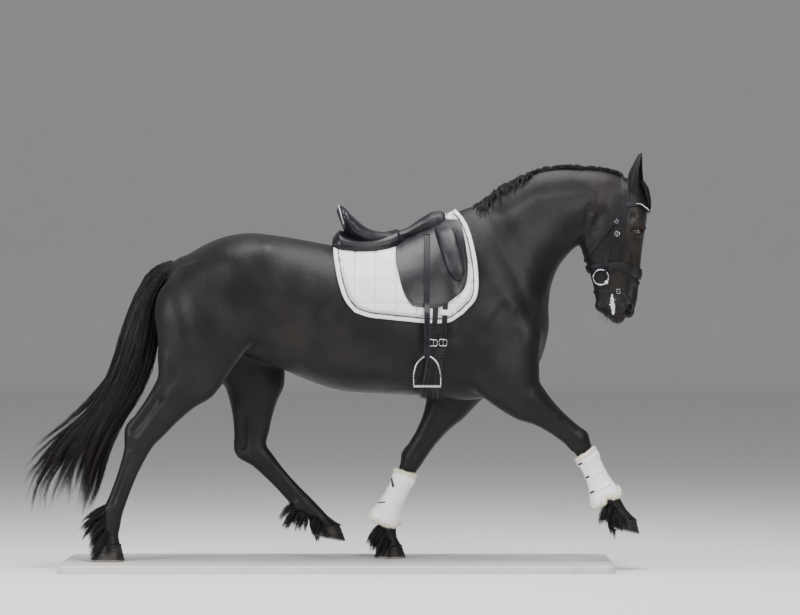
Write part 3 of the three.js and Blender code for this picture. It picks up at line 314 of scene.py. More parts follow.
def unmagnified(points):
    """The inverse of magnified(), its radius read off a table of the same formula."""
    away = points - MIDDLE_OF_HEAD
    far = np.linalg.norm(away, axis=-1, keepdims=True)
    r = np.arange(0, 4000, 0.5)
    true = np.interp(far, r * (1 + MAGNIFY * np.exp(-((r / MAGNIFY_REACH) ** 2))), r)
    return MIDDLE_OF_HEAD + away * true / np.maximum(far, 1e-9)


SPAN_LOW = np.array([-1350, -420, -80])
SPAN_HIGH = np.array([1560, 420, 2120])
FIRST = np.floor(SPAN_LOW / VOXEL).astype(int)
COUNT = np.ceil((SPAN_HIGH - SPAN_LOW) / VOXEL).astype(int)


def field(shape):
    """The distance to a closed shape on the magnified grid, clipped at BAND voxels, less than 0 inside."""
    points, quads, triangles = shape
    grid = openvdb.FloatGrid.createLevelSetFromPolygons(
        magnified(points).astype(np.float32),
        triangles=triangles.astype(np.uint32),
        quads=quads.astype(np.uint32),
        transform=openvdb.createLinearTransform(voxelSize=VOXEL),
        halfWidth=BAND,
    )
    values = np.empty(COUNT, np.float32)
    grid.copyToArray(values, ijk=tuple(int(v) for v in FIRST))
    return values


def melt(a, b, k):
    """The smooth union of two fields: min(a, b) less k/4 (1 - |a - b| / k)^2 where they are within k."""
    near = np.maximum(k - np.abs(a - b), 0)
    return np.minimum(a, b) - near * near / (4 * k)


EYE = np.array([1241, 80, 1476])
EYE_RADIUS = 23
NOSTRIL = np.array([1212, 50, 1122])
NOSE_HOLES = [(np.array([1212, 67, 1135]), [9, 20, 17]), (np.array([1201, 64, 1112]), [13, 20, 15])]
CHIN = np.array([1084, 0, 1143])
DOCK = np.array([-852, 0, 1298])
BACK_OF_THIGH = np.array([-848, -150, 884])
LIPS_APART = [(np.array([1133, 55, 1128]), [3.6, 17, 56]), (np.array([1119, 24, 1080]), [7, 44, 20])]
UPPER_LIP = np.array([1160, 0, 1088])
BROW = np.array([1257, 66, 1490])
mirror = np.array([1, -1, 1])
# What joins the torso, each with the width in which it blends into the rest
joined = [
    (loft(NECK, 6, 96, -COAT_DEPTH), 60),
    *[(loft(leg["rows"], 6, 56, -COAT_DEPTH), 34) for leg in LEGS.values()],
    (loft(HEAD, 8, 96, -COAT_DEPTH), 40),
    (ball(CHIN, [27, 31, 29]), 14),
    (ball(UPPER_LIP, [30, 38, 29]), 12),
    (ball(DOCK, [66, 32, 40]), 30),
    (ball(BACK_OF_THIGH, [50, 70, 92]), 24),
]
skin_field = field(loft(TORSO, 6, 96, -COAT_DEPTH))
for shape, blend in joined:
    skin_field = melt(skin_field, field(shape), blend)
for side in (mirror, 1):
    at = EYE * side
    out = side * np.array([0, 1, 0])
    skin_field = melt(skin_field, field(ball(at, [31, 27, 27])), 26)
    skin_field = melt(skin_field, field(ball((NOSTRIL - [4, 0, 0]) * side, [23, 24, 35])), 22)
    skin_field = melt(skin_field, field(ball(BROW * side, [26, 19, 19])), 16)
    hollow = field(ball(at + out * 20, [27, 20, 18]))
    skin_field = -melt(-skin_field, hollow, 5)
    for cut, radii in (*NOSE_HOLES, *LIPS_APART):
        skin_field = -melt(-skin_field, field(ball(cut * side, radii)), 6)
grid = openvdb.FloatGrid(BAND * VOXEL)
grid.transform = openvdb.createLinearTransform(voxelSize=VOXEL)
grid.copyFromArray(skin_field, ijk=tuple(int(v) for v in FIRST))
points, quads = grid.convertToQuads(0)
points = unmagnified(points.astype(float))


def mesh_object(name, points, faces):
    """A mesh object of its own at the origin, in metres, from points and lists of faces."""
    mesh = bpy.data.meshes.new(name)
    faces = [np.asarray(f) for f in (faces if isinstance(faces, (list, tuple)) else [faces])]
    loops = np.concatenate([f.ravel() for f in faces]).astype(np.int32)
    sizes = np.concatenate([np.full(len(f), f.shape[1]) for f in faces])
    mesh.vertices.add(len(points))
    mesh.vertices.foreach_set("co", np.asarray(points, np.float32).ravel())
    mesh.loops.add(len(loops))
    mesh.loops.foreach_set("vertex_index", loops)
    mesh.polygons.add(len(sizes))
    mesh.polygons.foreach_set("loop_start", (np.cumsum(sizes) - sizes).astype(np.int32))
    mesh.update(calc_edges=True)
    mesh.validate()
    mesh.polygons.foreach_set("use_smooth", np.ones(len(mesh.polygons), bool))
    made = bpy.data.objects.new(name, mesh)
    bpy.context.scene.collection.objects.link(made)
    return made


def piece_of(name, shape):
    """A mesh object of a closed shape: points in the horse's millimetres, quads and triangles."""
    points, quads, triangles = shape
    return mesh_object(name, place(points), [quads, triangles])


def positions(piece):
    """The places of a piece's vertices as an array."""
    co = np.empty(len(piece.data.vertices) * 3, np.float32)
    piece.data.vertices.foreach_get("co", co)
    return co.reshape(-1, 3).astype(float)


def in_millimetres(piece):
    """A piece's vertices in the horse's millimetres, the reverse of place()."""
    return (positions(piece) - ORIGIN) * 1000


def move_to(piece, points):
    """Sets a piece's vertices to points in the horse's millimetres."""
    piece.data.vertices.foreach_set("co", place(points).astype(np.float32).ravel())
    piece.data.update()


def triangles_of(piece):
    """The corners of a piece's triangles, three vertex numbers in a row."""
    piece.data.calc_loop_triangles()
    corners = np.empty(len(piece.data.loop_triangles) * 3, np.int32)
    piece.data.loop_triangles.foreach_get("vertices", corners)
    return corners.reshape(-1, 3)


def normals_of(piece):
    """The normals of a piece's vertices as an array."""
    flat = np.empty(len(piece.data.vertices) * 3, np.float32)
    piece.data.vertex_normals.foreach_get("vector", flat)
    return flat.reshape(-1, 3).astype(float)


skin = mesh_object("skin", place(points), quads)


def swell(points, normals, path, radius, height, side=0):
    """How far the hide rises at each point: height * exp(-(d / radius)^2), d the distance to the path.
    With a side of -1 or 1 the path is [x, z] and is measured across that flank, where the hide faces it."""
    path = np.asarray(path, float)
    axes = [0, 2] if side else [0, 1, 2]
    low, high = path.min(0) - 3 * radius, path.max(0) + 3 * radius
    reach = np.all((points[:, axes] > low) & (points[:, axes] < high), axis=1)
    if side:
        reach &= points[:, 1] * side > 0
    p = points[reach][:, axes]
    nearest = np.full(len(p), np.inf)
    for start, end in zip(path[:-1], path[1:]) if len(path) > 1 else [(path[0], path[0])]:
        way = end - start
        share = np.clip((p - start) @ way / max(way @ way, 1e-9), 0, 1)[:, None]
        nearest = np.minimum(nearest, np.linalg.norm(p - start - share * way, axis=1))
    rise = np.zeros(len(points))
    facing = np.clip(normals[reach, 1] * side * 1.6, 0, 1) if side else 1
    rise[reach] = height * np.exp(-((nearest / radius) ** 2)) * facing
    return rise


# Forms of the trunk, neck and head, alike on both flanks: path, radius, height
FORMS = [
    ([[-405, 1392]], 48, 9), ([[-430, 1400], [-560, 1350]], 60, 4), ([[-610, 1320]], 120, 6),
    ([[-330, 1230], [-300, 1080]], 60, -9), ([[-470, 1330], [-420, 1180]], 45, -4),
    ([[-330, 960], [-260, 905]], 34, 8), ([[-290, 1010], [-235, 960]], 26, -5),
    ([[-815, 1290], [-795, 1150], [-760, 1010]], 30, -5), ([[-700, 1280], [-660, 1100]], 70, 4),
    ([[450, 1470], [690, 1140]], 40, 5), ([[560, 1530], [700, 1270], [762, 1110]], 30, -7),
    ([[410, 1330], [430, 1180], [420, 1010]], 38, -7), ([[545, 1090]], 90, 10),
    ([[600, 1230], [500, 1200], [440, 1120]], 34, 4), ([[640, 1130], [560, 1010]], 24, -4),
    ([[768, 1010]], 55, 9), ([[700, 1010], [640, 930]], 30, -4), ([[440, 880]], 42, 9),
    ([[1000, 1440], [900, 1290], [830, 1130], [800, 1040]], 20, -6),
    ([[1010, 1475], [925, 1330], [865, 1180]], 24, 5), ([[930, 1570]], 85, 5),
    ([[640, 1560], [800, 1650], [990, 1665]], 28, -4), ([[1085, 1590]], 36, 7),
    ([[1050, 1640], [1035, 1560]], 12, -4), ([[1022, 1590], [1010, 1500]], 11, -3),
    ([[720, 1500], [860, 1400]], 60, 4), ([[-120, 800], [150, 775], [380, 770]], 26, -3),
    ([[1222, 1438], [1200, 1350], [1188, 1315]], 9, 5), ([[1090, 1445]], 62, 6),
    ([[1042, 1540], [1012, 1440], [1034, 1360]], 14, 5), ([[1075, 1560], [1060, 1500]], 16, -5),
    ([[1262, 1505], [1235, 1516], [1208, 1502]], 12, 5), ([[1222, 1542]], 15, -7),
    ([[1256, 1440], [1247, 1330], [1240, 1230]], 11, 4),
    ([[1228, 1370], [1216, 1270], [1208, 1200]], 17, -5),
    ([[1130, 1330], [1110, 1270]], 30, -5), ([[1075, 1290], [1080, 1200]], 13, 3),
    ([[1190, 1400], [1168, 1340], [1176, 1270], [1160, 1210]], 4, 2),
    ([[1140, 1380], [1120, 1300]], 4, 1.6),
    ([[1140, 1092]], 18, 6), ([[1232, 1140], [1222, 1110]], 15, 4), ([[1185, 1150]], 22, -4),
    ([[1118, 1196], [1140, 1150]], 13, 4), ([[1198, 1168], [1186, 1190]], 9, 3),
    ([[1128, 1192], [1131, 1180]], 5, -5), ([[1178, 1140], [1181, 1112], [1192, 1094]], 7, 4),
    ([[1206, 1084], [1170, 1076]], 9, 3),
    ([[1146, 1170], [1150, 1120], [1150, 1092]], 9, 2.5), ([[1116, 1150], [1118, 1110]], 9, 3),
    ([[1266, 1462], [1250, 1452], [1228, 1458]], 5, -2),
    ([[1262, 1448], [1240, 1440], [1218, 1448]], 5, -1.6),
]
skin_normals = normals_of(skin)
flesh = in_millimetres(skin)
rise = np.zeros(len(flesh))
for path, radius, height in FORMS:
    for side in (-1, 1):
        rise += swell(flesh, skin_normals, path, radius, height, side)


def beside(leg, bone, way, back=0, out=0):
    """A point by a leg's bone: a share of the way down it, moved back square to it and out sideways."""
    joints = np.array(leg["joints"], float)
    start, end = joints[bone], joints[bone + 1]
    run = (end - start)[:2] / np.linalg.norm((end - start)[:2])
    x, z, y = start + (end - start) * way
    return [x + run[1] * back, y + np.sign(y) * out, z - run[0] * back]


# Forms of each leg: bone, ways down it, back, out, radius, height
FORE_FORMS = [
    (0, (0.1, 0.5), -20, 62, 34, 6), (0, (0.2, 0.75), 22, 52, 13, -5), (0, (0.1, 0.5), 40, -50, 30, 5),
    (0, (0.97, 1), -34, 22, 22, 4), (0, (0.93, 1), 46, 20, 18, 8), (1, (0.02, 0.06), 40, 14, 14, 4),
    (1, (0.2, 0.85), 12, 30, 8, -6), (1, (0.2, 0.85), 12, -30, 8, -6), (1, (0.2, 0.9), 30, 0, 12, 3),
    (1, (0.96, 1), 36, 22, 15, 5), (1, (0.96, 1), 36, -22, 15, 5), (2, (0.45, 0.6), 36, 0, 16, -5),
    (0, (0.86, 0.9), 8, 46, 14, -3), (1, (0, 0.04), -4, 46, 16, 3),
]
HIND_FORMS = [
    (0, (-0.12, 0.05), -118, 40, 44, 8), (0, (0.1, 0.45), -30, 56, 46, 7), (0, (0.15, 0.5), 52, 50, 20, -7),
    (0, (0.5, 0.95), 44, 34, 22, -13), (0, (0.5, 0.95), 44, -34, 22, -13), (0, (0.9, 1), 92, 0, 17, 6),
    (0, (0.96, 1), -10, 40, 26, 4), (1, (0.05, 0.15), 30, 30, 16, -4), (1, (0.22, 0.88), 14, 30, 9, -6),
    (1, (0.22, 0.88), 14, -30, 9, -6), (1, (0.2, 0.9), 38, 0, 12, 3), (1, (0.96, 1), 40, 22, 15, 5),
    (1, (0.96, 1), 40, -22, 15, 5), (2, (0.45, 0.65), 38, 0, 16, -5),
]
for name, leg in LEGS.items():
    for bone, ways, back, out, radius, height in FORE_FORMS if name.startswith("front") else HIND_FORMS:
        path = [beside(leg, bone, way, back, out) for way in ways]
        rise += swell(flesh, skin_normals, path, radius, height)
# Between the pectorals and along the spine the hide dips, and it is loose under the throat
rise += swell(flesh, skin_normals, [[838, 0, 1130], [842, 0, 1000], [780, 0, 840]], 22, -9)
rise += swell(flesh, skin_normals, [[-840, 0, 1330], [-600, 0, 1450], [-420, 0, 1470]], 22, -4)
flesh += skin_normals * rise[:, None]
move_to(skin, flesh)


def applied(piece):
    """The piece with its modifiers made part of its mesh."""
    evaluated = piece.evaluated_get(bpy.context.evaluated_depsgraph_get())
    finished = bpy.data.meshes.new_from_object(evaluated)
    piece.modifiers.clear()
    old = piece.data
    piece.data = finished
    bpy.data.meshes.remove(old)
    return piece


if len(skin.data.polygons) * 2 > SKIN_TRIANGLES:
    thinner = skin.modifiers.new("thinner", "DECIMATE")
    thinner.ratio = SKIN_TRIANGLES / (2 * len(skin.data.polygons))
    applied(skin)


class Value:
    """A node's output in a finish. Sums, differences and products with it add Math nodes."""

    def __init__(self, finish, socket):
        self.finish = finish
        self.socket = socket

    def math(self, operation, *others):
        """A Math node on this value and others."""
        return self.finish.node("Math", {"operation": operation}, dict(enumerate([self, *others])))

    def __add__(self, other):
        return self.math("ADD", other)

    def __sub__(self, other):
        return self.math("SUBTRACT", other)

    def __rsub__(self, other):
        return self.math("MULTIPLY_ADD", -1, other)

    def __mul__(self, other):
        return self.math("MULTIPLY", other)

    def between(self, low, high):
        """0 below low, 1 above high, smooth in between."""
        settings = {"interpolation_type": "SMOOTHSTEP", "clamp": True}
        return self.finish.node("MapRange", settings, {0: self, 1: low, 2: high})

    __radd__ = __add__
    __rmul__ = __mul__


class Finish:
    """A material: its Principled shader with constants set on it, and the nodes that feed it."""

    def __init__(self, name, color, **constants):
        self.material = bpy.data.materials.new(name)
        self.material.use_nodes = True
        self.tree = self.material.node_tree
        self.shader = self.tree.nodes["Principled BSDF"]
        self.shader.inputs["Base Color"].default_value = (*color, 1)
        for key, value in constants.items():
            self.shader.inputs[key.replace("_", " ").title().replace("Ior", "IOR")].default_value = value
        self.place = self.node("TexCoord", output="Object")

    def node(self, kind, settings=None, inputs=None, output=0):
        """A node of a kind, its settings set first, then its sockets given values or links."""
        made = self.tree.nodes.new("ShaderNode" + kind)
        for key, value in (settings or {}).items():
            setattr(made, key, value)
        for key, value in (inputs or {}).items():
            if isinstance(value, Value):
                self.tree.links.new(value.socket, made.inputs[key])
            else:
                made.inputs[key].default_value = value
        return Value(self, made.outputs[output])

    def noise(self, scale, detail=3, stretch=(1, 1, 1)):
        """Noise on the piece's own coordinates, squeezed along each axis by stretch."""
        vector = self.node("Mapping", inputs={0: self.place, 3: stretch})
        return self.node("TexNoise", inputs={"Vector": vector, "Scale": scale, "Detail": detail})

    def cells(self, scale):
        """The distance to the middle of the nearest of many cells, for grain and pores."""
        return self.node("TexVoronoi", inputs={"Vector": self.place, "Scale": scale})

    def axis(self, number):
        """The piece's own coordinate along one axis, in metres."""
        return self.node("SeparateXYZ", inputs={0: self.place}, output=number)

    def mix(self, share, a, b):
        """Colour a where share is 0, b where it is 1."""
        a, b = (v if isinstance(v, Value) else (*v, 1) for v in (a, b))
        return self.node("Mix", {"data_type": "RGBA"}, {0: share, 6: a, 7: b}, 2)

    def attribute(self, name):
        """A number kept at each vertex of the piece."""
        return self.node("Attribute", {"attribute_name": name}, output="Fac")

    def feed(self, **sockets):
        """Links values to the shader's own inputs."""
        for key, value in sockets.items():
            self.tree.links.new(value.socket, self.shader.inputs[key.replace("_", " ").title()])
        return self

    def bump(self, height, depth, strength=1.0, after=None):
        """Relief of a height in metres, laid over the relief that came before."""
        inputs = {"Height": height, "Distance": depth, "Strength": strength}
        if after:
            inputs["Normal"] = after
        return self.node("Bump", inputs=inputs)


def fit(piece, finish, slot, *nodes):
    """The piece rides on the still body in its finish and stands for CAD nodes, which it hides. slot is not
    used.
    """
    piece.data.materials.clear()
    piece.data.materials.append(finish.material)
    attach(piece, "root")
    if nodes:
        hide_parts(*nodes)
    return piece


def keep_number(piece, name, values):
    """One number at each vertex of a piece, under a name that its finish reads."""
    kept_values = piece.data.attributes.new(name, "FLOAT", "POINT").data
    kept_values.foreach_set("value", np.asarray(values, np.float32))


coat = Finish("black_coat", (0.009, 0.008, 0.008), roughness=0.4, specular_ior_level=0.2, sheen_weight=0.03)
patches = coat.noise(7, 4).between(0.35, 0.75)
warm = coat.attribute("warm")
coat_color = coat.mix(patches, (0.0052, 0.005, 0.0053), (0.0108, 0.0098, 0.0098))
coat_color = coat.mix(warm * patches, coat_color, (0.020, 0.0145, 0.011))
long_hair = coat.noise(260, 2, (0.16, 1, 1))
upright_hair = coat.noise(260, 2, (1, 1, 0.16))
upright = coat.attribute("upright")
hairs = long_hair + (upright_hair - long_hair) * upright
folds = coat.noise(22, 3, (1, 1, 0.5))
coat.feed(
    base_color=coat_color,
    roughness=0.36 + 0.16 * hairs + 0.06 * patches,
    normal=coat.bump(hairs, 0.0009, 0.8, coat.bump(folds, 0.004, 0.5)),
)
x, _, z = in_millimetres(skin).T
head_share = 1 / (1 + np.exp(-(x - 1010) / 40)) * (z > 1000)
flank = np.exp(-(((x + 240) / 260) ** 2) - ((z - 1020) / 190) ** 2)
face = head_share * np.exp(-(((x - 1235) / 45) ** 2) - ((z - 1440) / 120) ** 2)
keep_number(skin, "warm", np.clip(0.5 * flank + face + 0.4 * head_share, 0, 1))
keep_number(skin, "upright", np.clip(np.maximum(head_share, (z < 780) | ((x > 560) & (z > 1100))), 0, 1))
fit(skin, coat, "coat", "head", "neck", "torso", *[f"leg_{name}" for name in LEGS])


# Long hair: mane, forelock, tail and the feathers behind the fetlocks. Each is made of fine flat hairs
# that run together in locks, rooted in the hide, black with a brown cast where it is worn by the sun.
HAIR_SIDES = 3
PATCH = 0.003
LOWEST_HAIR = 4
UNWRAP = {name: (i % 3, i // 3) for i, name in enumerate(["torso", "neck", "head", *LEGS, "tail"])}
draw = np.random.default_rng(20)


def unwrapped(form, u_share, t):
    """The place of a root on the flat pattern of the hide: each loft has a cell of a 3 x 3 grid, its
    station across the cell and its angle up it."""
    column, row = UNWRAP[form]
    across = (column + 0.02 + 0.96 * np.clip(u_share, 0, 1)) / 3
    up = (row + 0.02 + 0.96 * (np.mod(t, 2 * np.pi) / (2 * np.pi))) / 3
    return np.stack(np.broadcast_arrays(across, up), -1)


def unit(vectors):
    """Vectors drawn to length 1 along their last axis."""
    return vectors / (np.linalg.norm(vectors, axis=-1, keepdims=True) + 1e-9)


def hairs_object(name, paths, away, width, root_places, shade, flat=0.45):
    """Tapered tubes of three sides along paths of shape (hairs, steps, 3) in millimetres: each ring is
    path + side cos a w/2 + up sin a w/2 flat, w the width times a taper that ends in one point."""
    count, steps = paths.shape[:2]
    s = np.linspace(0, 1, steps)
    taper = np.minimum(1, 0.7 + 1.5 * s) * np.minimum(1, 1.5 * (1 - s) ** 0.8)
    along = unit(np.gradient(paths, axis=1))
    away = np.reshape(away, (-1, 1, 3)) if np.ndim(away) == 2 else away
    side = unit(np.cross(along, np.broadcast_to(away, along.shape)))
    up = np.cross(side, along)
    half = (np.reshape(width, (-1, 1)) * taper / 2)[:, :-1, None]
    angles = np.arange(HAIR_SIDES) * 2 * np.pi / HAIR_SIDES
    start = paths[:, :-1]
    across, over = side[:, :-1] * half, up[:, :-1] * half * flat
    rings = np.stack([start + across * np.cos(a) + over * np.sin(a) for a in angles], axis=2)
    each = (steps - 1) * HAIR_SIDES + 1
    points = np.concatenate([rings.reshape(count, -1, 3), paths[:, -1:]], axis=1).reshape(-1, 3)
    starts = (np.arange(count) * each)[:, None, None]
    tube = grid_faces(steps - 1, HAIR_SIDES)[None] + starts
    k = np.arange(HAIR_SIDES)
    last = (steps - 2) * HAIR_SIDES
    tips = np.stack([last + k, last + (k + 1) % HAIR_SIDES, np.full(HAIR_SIDES, each - 1)], -1)
    ends = np.concatenate([tips, [[2, 1, 0]]])[None] + starts
    piece = mesh_object(name, place(points), [tube.reshape(-1, 4), ends.reshape(-1, 3)])
    keep_number(piece, "shade", np.repeat(shade, each))
    way = np.concatenate([np.repeat(s[:-1], HAIR_SIDES), [1]])
    keep_number(piece, "way", np.tile(way, count))
    turn = np.concatenate([np.tile(k / HAIR_SIDES, steps - 1), [0.5]])
    uv = root_places[:, None, :] + PATCH * (np.stack([turn, way], -1)[None] - 0.5)
    corner = np.empty(len(piece.data.loops), np.int32)
    piece.data.loops.foreach_get("vertex_index", corner)
    uv_map = piece.data.uv_layers.new(name="OFBake")
    uv_map.data.foreach_set("uv", uv.reshape(-1, 2)[corner].astype(np.float32).ravel())
    return piece


def locked(guides, per_lock, spread, steps, tip_share=0.2, wave=3.0):
    """Hairs round guide paths: hair = guide + offset * taper + a small wave, the offset drawn in a ball
    and drawn in towards the tip, so that the hairs of a lock meet there."""
    count = len(guides) * per_lock
    s = np.linspace(0, 1, steps)[None, :, None]
    own = np.repeat(guides, per_lock, axis=0)
    offset = draw.normal(size=(count, 1, 3))
    offset *= spread * draw.random((count, 1, 1)) ** 0.5 / np.linalg.norm(offset, axis=2, keepdims=True)
    gather = 1 - (1 - tip_share) * s**1.4
    phase = draw.random((count, 1, 3)) * 2 * np.pi
    ripple = wave * s * np.sin(phase + 2 * np.pi * s * (1.5 + draw.random((count, 1, 1))))
    shorter = 1 - 0.22 * draw.random(count) ** 2
    at = s[0, :, 0][None, :] * shorter[:, None] * (steps - 1)
    low = np.minimum(at.astype(int), steps - 2)
    f = (at - low)[..., None]
    rows = np.arange(count)[:, None]
    return own[rows, low] * (1 - f) + own[rows, low + 1] * f + offset * gather + ripple


def tufts(name, form, station, around, guides, per_lock, spread, thin, thick, tip_share, wave):
    """locked() hairs of widths thin to thick round guides that are rooted on a form at a share of its
    length and an angle, as one piece."""
    paths = locked(guides, per_lock, spread, guides.shape[1], tip_share, wave)
    paths[..., 2] = np.maximum(paths[..., 2], LOWEST_HAIR)
    count = len(paths)
    places = unwrapped(form, np.repeat(station, per_lock), np.repeat(around, per_lock))
    aside, width = draw.normal(size=(count, 3)), draw.uniform(thin, thick, count)
    return hairs_object(name, paths, aside, width, places, draw.random(count))


hair = Finish("long_black_hair", (0.01, 0.0095, 0.01), roughness=0.38, specular_ior_level=0.25)
hair_shade = hair.attribute("shade")
hair_way = hair.attribute("way")
hair_color = hair.mix(hair_shade, (0.006, 0.006, 0.0065), (0.017, 0.015, 0.015))
hair_color = hair.mix(hair_way.between(0.45, 1.1) * 0.6, hair_color, (0.030, 0.023, 0.019))
hair_grain = hair.noise(300, 2)
hair.feed(
    base_color=hair_color,
    roughness=0.3 + 0.22 * hair_shade,
    normal=hair.bump(hair_grain, 0.0006, 0.4),
)

# Tail: locks from the dock that sweep back and down and fan out at their tips
TAIL = np.array([
    section([-812, 1351], [-836, 1300], 24),
    section([-858, 1342], [-858, 1262], 34),
    section([-912, 1323], [-880, 1240], 44),
    section([-966, 1272], [-900, 1200], 56),
    section([-1023, 1160], [-905, 1130], 66),
    section([-1066, 1044], [-902, 1035], 74),
    section([-1116, 880], [-926, 870], 80),
    section([-1170, 760], [-985, 740], 84),
    section([-1240, 640], [-1060, 620], 84),
    section([-1320, 540], [-1100, 520], 80),
    section([-1360, 430], [-1135, 410], 70),
    section([-1370, 320], [-1165, 300], 56),
    section([-1315, 190], [-1225, 190], 34),
])
TAIL_SWEEP = 190
TAIL_STEPS = 12


def tail_paths(around, share, first, last):
    """Paths down the tail: station first to last, the point of the tail's loft there drawn towards its
    middle line by share, and the outer ones swept back by (s - 0.6)^1.3 near their tips."""
    s = np.linspace(0, 1, TAIL_STEPS)[None, :]
    around, share, first, last = (np.reshape(v, (-1, 1)) for v in (around, share, first, last))
    station = np.minimum(first + (last - first) * s, len(TAIL) - 1)
    rows = between(TAIL, station)
    x, z = (rows[..., 0] + rows[..., 2]) / 2, (rows[..., 1] + rows[..., 3]) / 2
    middle = np.stack([x, rows[..., 5], z], -1)
    turned = around + 0.35 * np.sin(2.2 * s)
    outer = on_loft(TAIL, station, turned) - middle
    paths = middle + outer * (share * np.minimum(1, 0.75 + s))[..., None]
    paths[..., 0] -= TAIL_SWEEP * 3 * np.maximum(0, np.cos(around)) * np.maximum(0, s - 0.6) ** 1.3
    bow = np.sin(2 * np.pi * (s * 1.6 + draw.random(around.shape)))
    paths[..., 0] += 9 * s * bow
    paths[..., 1] += 12 * s * np.sin(2 * np.pi * (s * 1.3 + draw.random(around.shape)))
    return paths


for name, locks, low_share, high_share, budget in (
    ("tail", 64, 0.72, 1.0, 186000), ("tail_under", 52, 0.1, 0.72, 102000)
):
    around = (np.arange(locks) * 2.399) % (2 * np.pi)
    share = low_share + (high_share - low_share) * draw.random(locks)
    first = np.where(share > 0.8, 0.15 + 3.4 * draw.random(locks), 0.5 + 3.5 * draw.random(locks))
    shorter = 0.9 * np.maximum(0, np.cos(around)) * (np.arange(locks) % 2)
    last = len(TAIL) - 1.5 + draw.uniform(-1.3, 0.6, locks) - shorter
    guides = tail_paths(around, share, first, last)
    per_lock = budget // (locks * ((TAIL_STEPS - 2) * 6 + 4))
    tail = tufts(name, "tail", first / len(TAIL), around, guides, per_lock, 17, 3.2, 5.2, 0.35, 5)
    fit(tail, hair, "long_hair", *(["tail"] if name == "tail" else []))

# Mane: it falls to the left of the crest, and short hairs stand on its right side
MANE_STEPS = 9
MANE_LOCKS = 90


def mane_paths(station, reach, lift, drift, turn_from):
    """Paths down the neck's side: station and angle on its loft run on with s, lifted off the hide."""
    s = np.linspace(0, 1, MANE_STEPS)[None, :]
    values = (station, reach, lift, drift, turn_from)
    station, reach, lift, drift, turn_from = (np.reshape(v, (-1, 1)) for v in values)
    bend = 0.09 * np.sin(2 * np.pi * (1.2 * s + draw.random(station.shape))) * s
    out = -4 + (lift + 4) * np.minimum(1, 5 * s) + 5 * np.sin(np.pi * s)
    return on_loft(NECK, np.maximum(0.1, station - drift * s + bend), turn_from + reach * s, out)


lock = np.arange(MANE_LOCKS)
station = 1.55 + 7.8 * (lock + draw.uniform(-0.4, 0.4, MANE_LOCKS)) / (MANE_LOCKS - 1)
guides = mane_paths(
    station, draw.uniform(1.35, 1.95, MANE_LOCKS), 6 + 10 * draw.random(MANE_LOCKS),
    draw.uniform(0.6, 1.0, MANE_LOCKS), draw.uniform(-0.12, 0.12, MANE_LOCKS),
)
per_lock = 188000 // (MANE_LOCKS * ((MANE_STEPS - 2) * 6 + 4))
mane = tufts("mane", "neck", station / len(NECK), 0 * station, guides, per_lock, 15, 2.6, 4.4, 0.25, 4)
fit(mane, hair, "long_hair", "mane")

ruffles = 150
station = np.concatenate([1.4 + 3.2 * draw.random(90), 4.6 + 4.8 * draw.random(60)])
near_withers = station < 4.6
guides = mane_paths(
    station,
    np.where(near_withers, draw.uniform(-0.55, -0.15, ruffles), draw.uniform(-0.16, 0.3, ruffles)),
    np.where(near_withers, 8, 5) + 6 * draw.random(ruffles),
    draw.uniform(0.1, 0.45, ruffles),
    draw.uniform(-0.1, 0.1, ruffles),
)
crest = tufts("mane_crest", "neck", station / len(NECK), 0 * station, guides, 12, 7, 1.8, 3, 0.4, 2)
fit(crest, hair, "long_hair")

# Forelock: locks from the poll down the forehead between the eyes
FORELOCK_LOCKS = 26
s = np.linspace(0, 1, MANE_STEPS)[None, :]
side = draw.uniform(-0.75, 0.75, (FORELOCK_LOCKS, 1))
length = draw.uniform(1.9, 3.6, (FORELOCK_LOCKS, 1))
guides = on_loft(
    HEAD, 0.75 + length * s, side * (0.45 + 0.55 * s) + 0.08 * np.sin(6 * s + 9 * side),
    -6 + 20 * np.minimum(1, 4 * s) + 4 * np.sin(np.pi * s) * draw.random((FORELOCK_LOCKS, 1)),
)
root_share = np.full(FORELOCK_LOCKS, 0.06)
forelock = tufts("forelock", "head", root_share, side[:, 0], guides, 60, 10, 2, 3.6, 0.25, 3)
fit(forelock, hair, "long_hair", "forelock")

# Feathers: fine hair behind each fetlock and pastern that falls over the heels, clear of the ground
FEATHER_LOCKS = 46
FEATHER_HAIRS = 25
UNDER_BOOT = 0.4
FEATHER_STEPS = 7
for name, leg in LEGS.items():
    rows = leg["rows"]
    fetlock = len(rows) - 4
    s = np.linspace(0, 1, FEATHER_STEPS)[None, :, None]
    low = draw.random(FEATHER_LOCKS)
    if name.startswith("front"):
        low = UNDER_BOOT + (1 - UNDER_BOOT) * low
    station = fetlock - 0.7 + 3.3 * low
    around = np.pi + draw.uniform(-1, 1, FEATHER_LOCKS) * (0.9 + 0.9 * low)
    root = on_loft(rows, station, around, -5)
    here = on_loft(rows, station, around)
    back = unit(on_loft(rows, station, around, 20) - here)
    down = unit(on_loft(rows, np.minimum(station + 0.6, len(rows) - 1), around) - here)
    length = (126 - 50 * low) * draw.uniform(0.75, 1.2, FEATHER_LOCKS)
    length = length[:, None, None]
    low = low[:, None, None]
    ways = down[:, None] * (0.45 + 0.4 * low) * s + back[:, None] * (0.5 * s - 0.3 * s * s)
    guides = root[:, None] + length * ways
    # The horse trots forward, so the upper hairs trail behind the fetlock
    guides[..., 0] -= (length * (0.75 * (1 - low) * s + 0.1 * s * s))[..., 0]
    guides[..., 2] -= (length * 0.22 * s * s)[..., 0]
    share = station / len(rows)
    feather = tufts(f"feather_{name}", name, share, around, guides, FEATHER_HAIRS, 13, 2, 3.4, 0.4, 3)
    fit(feather, hair, "long_hair")


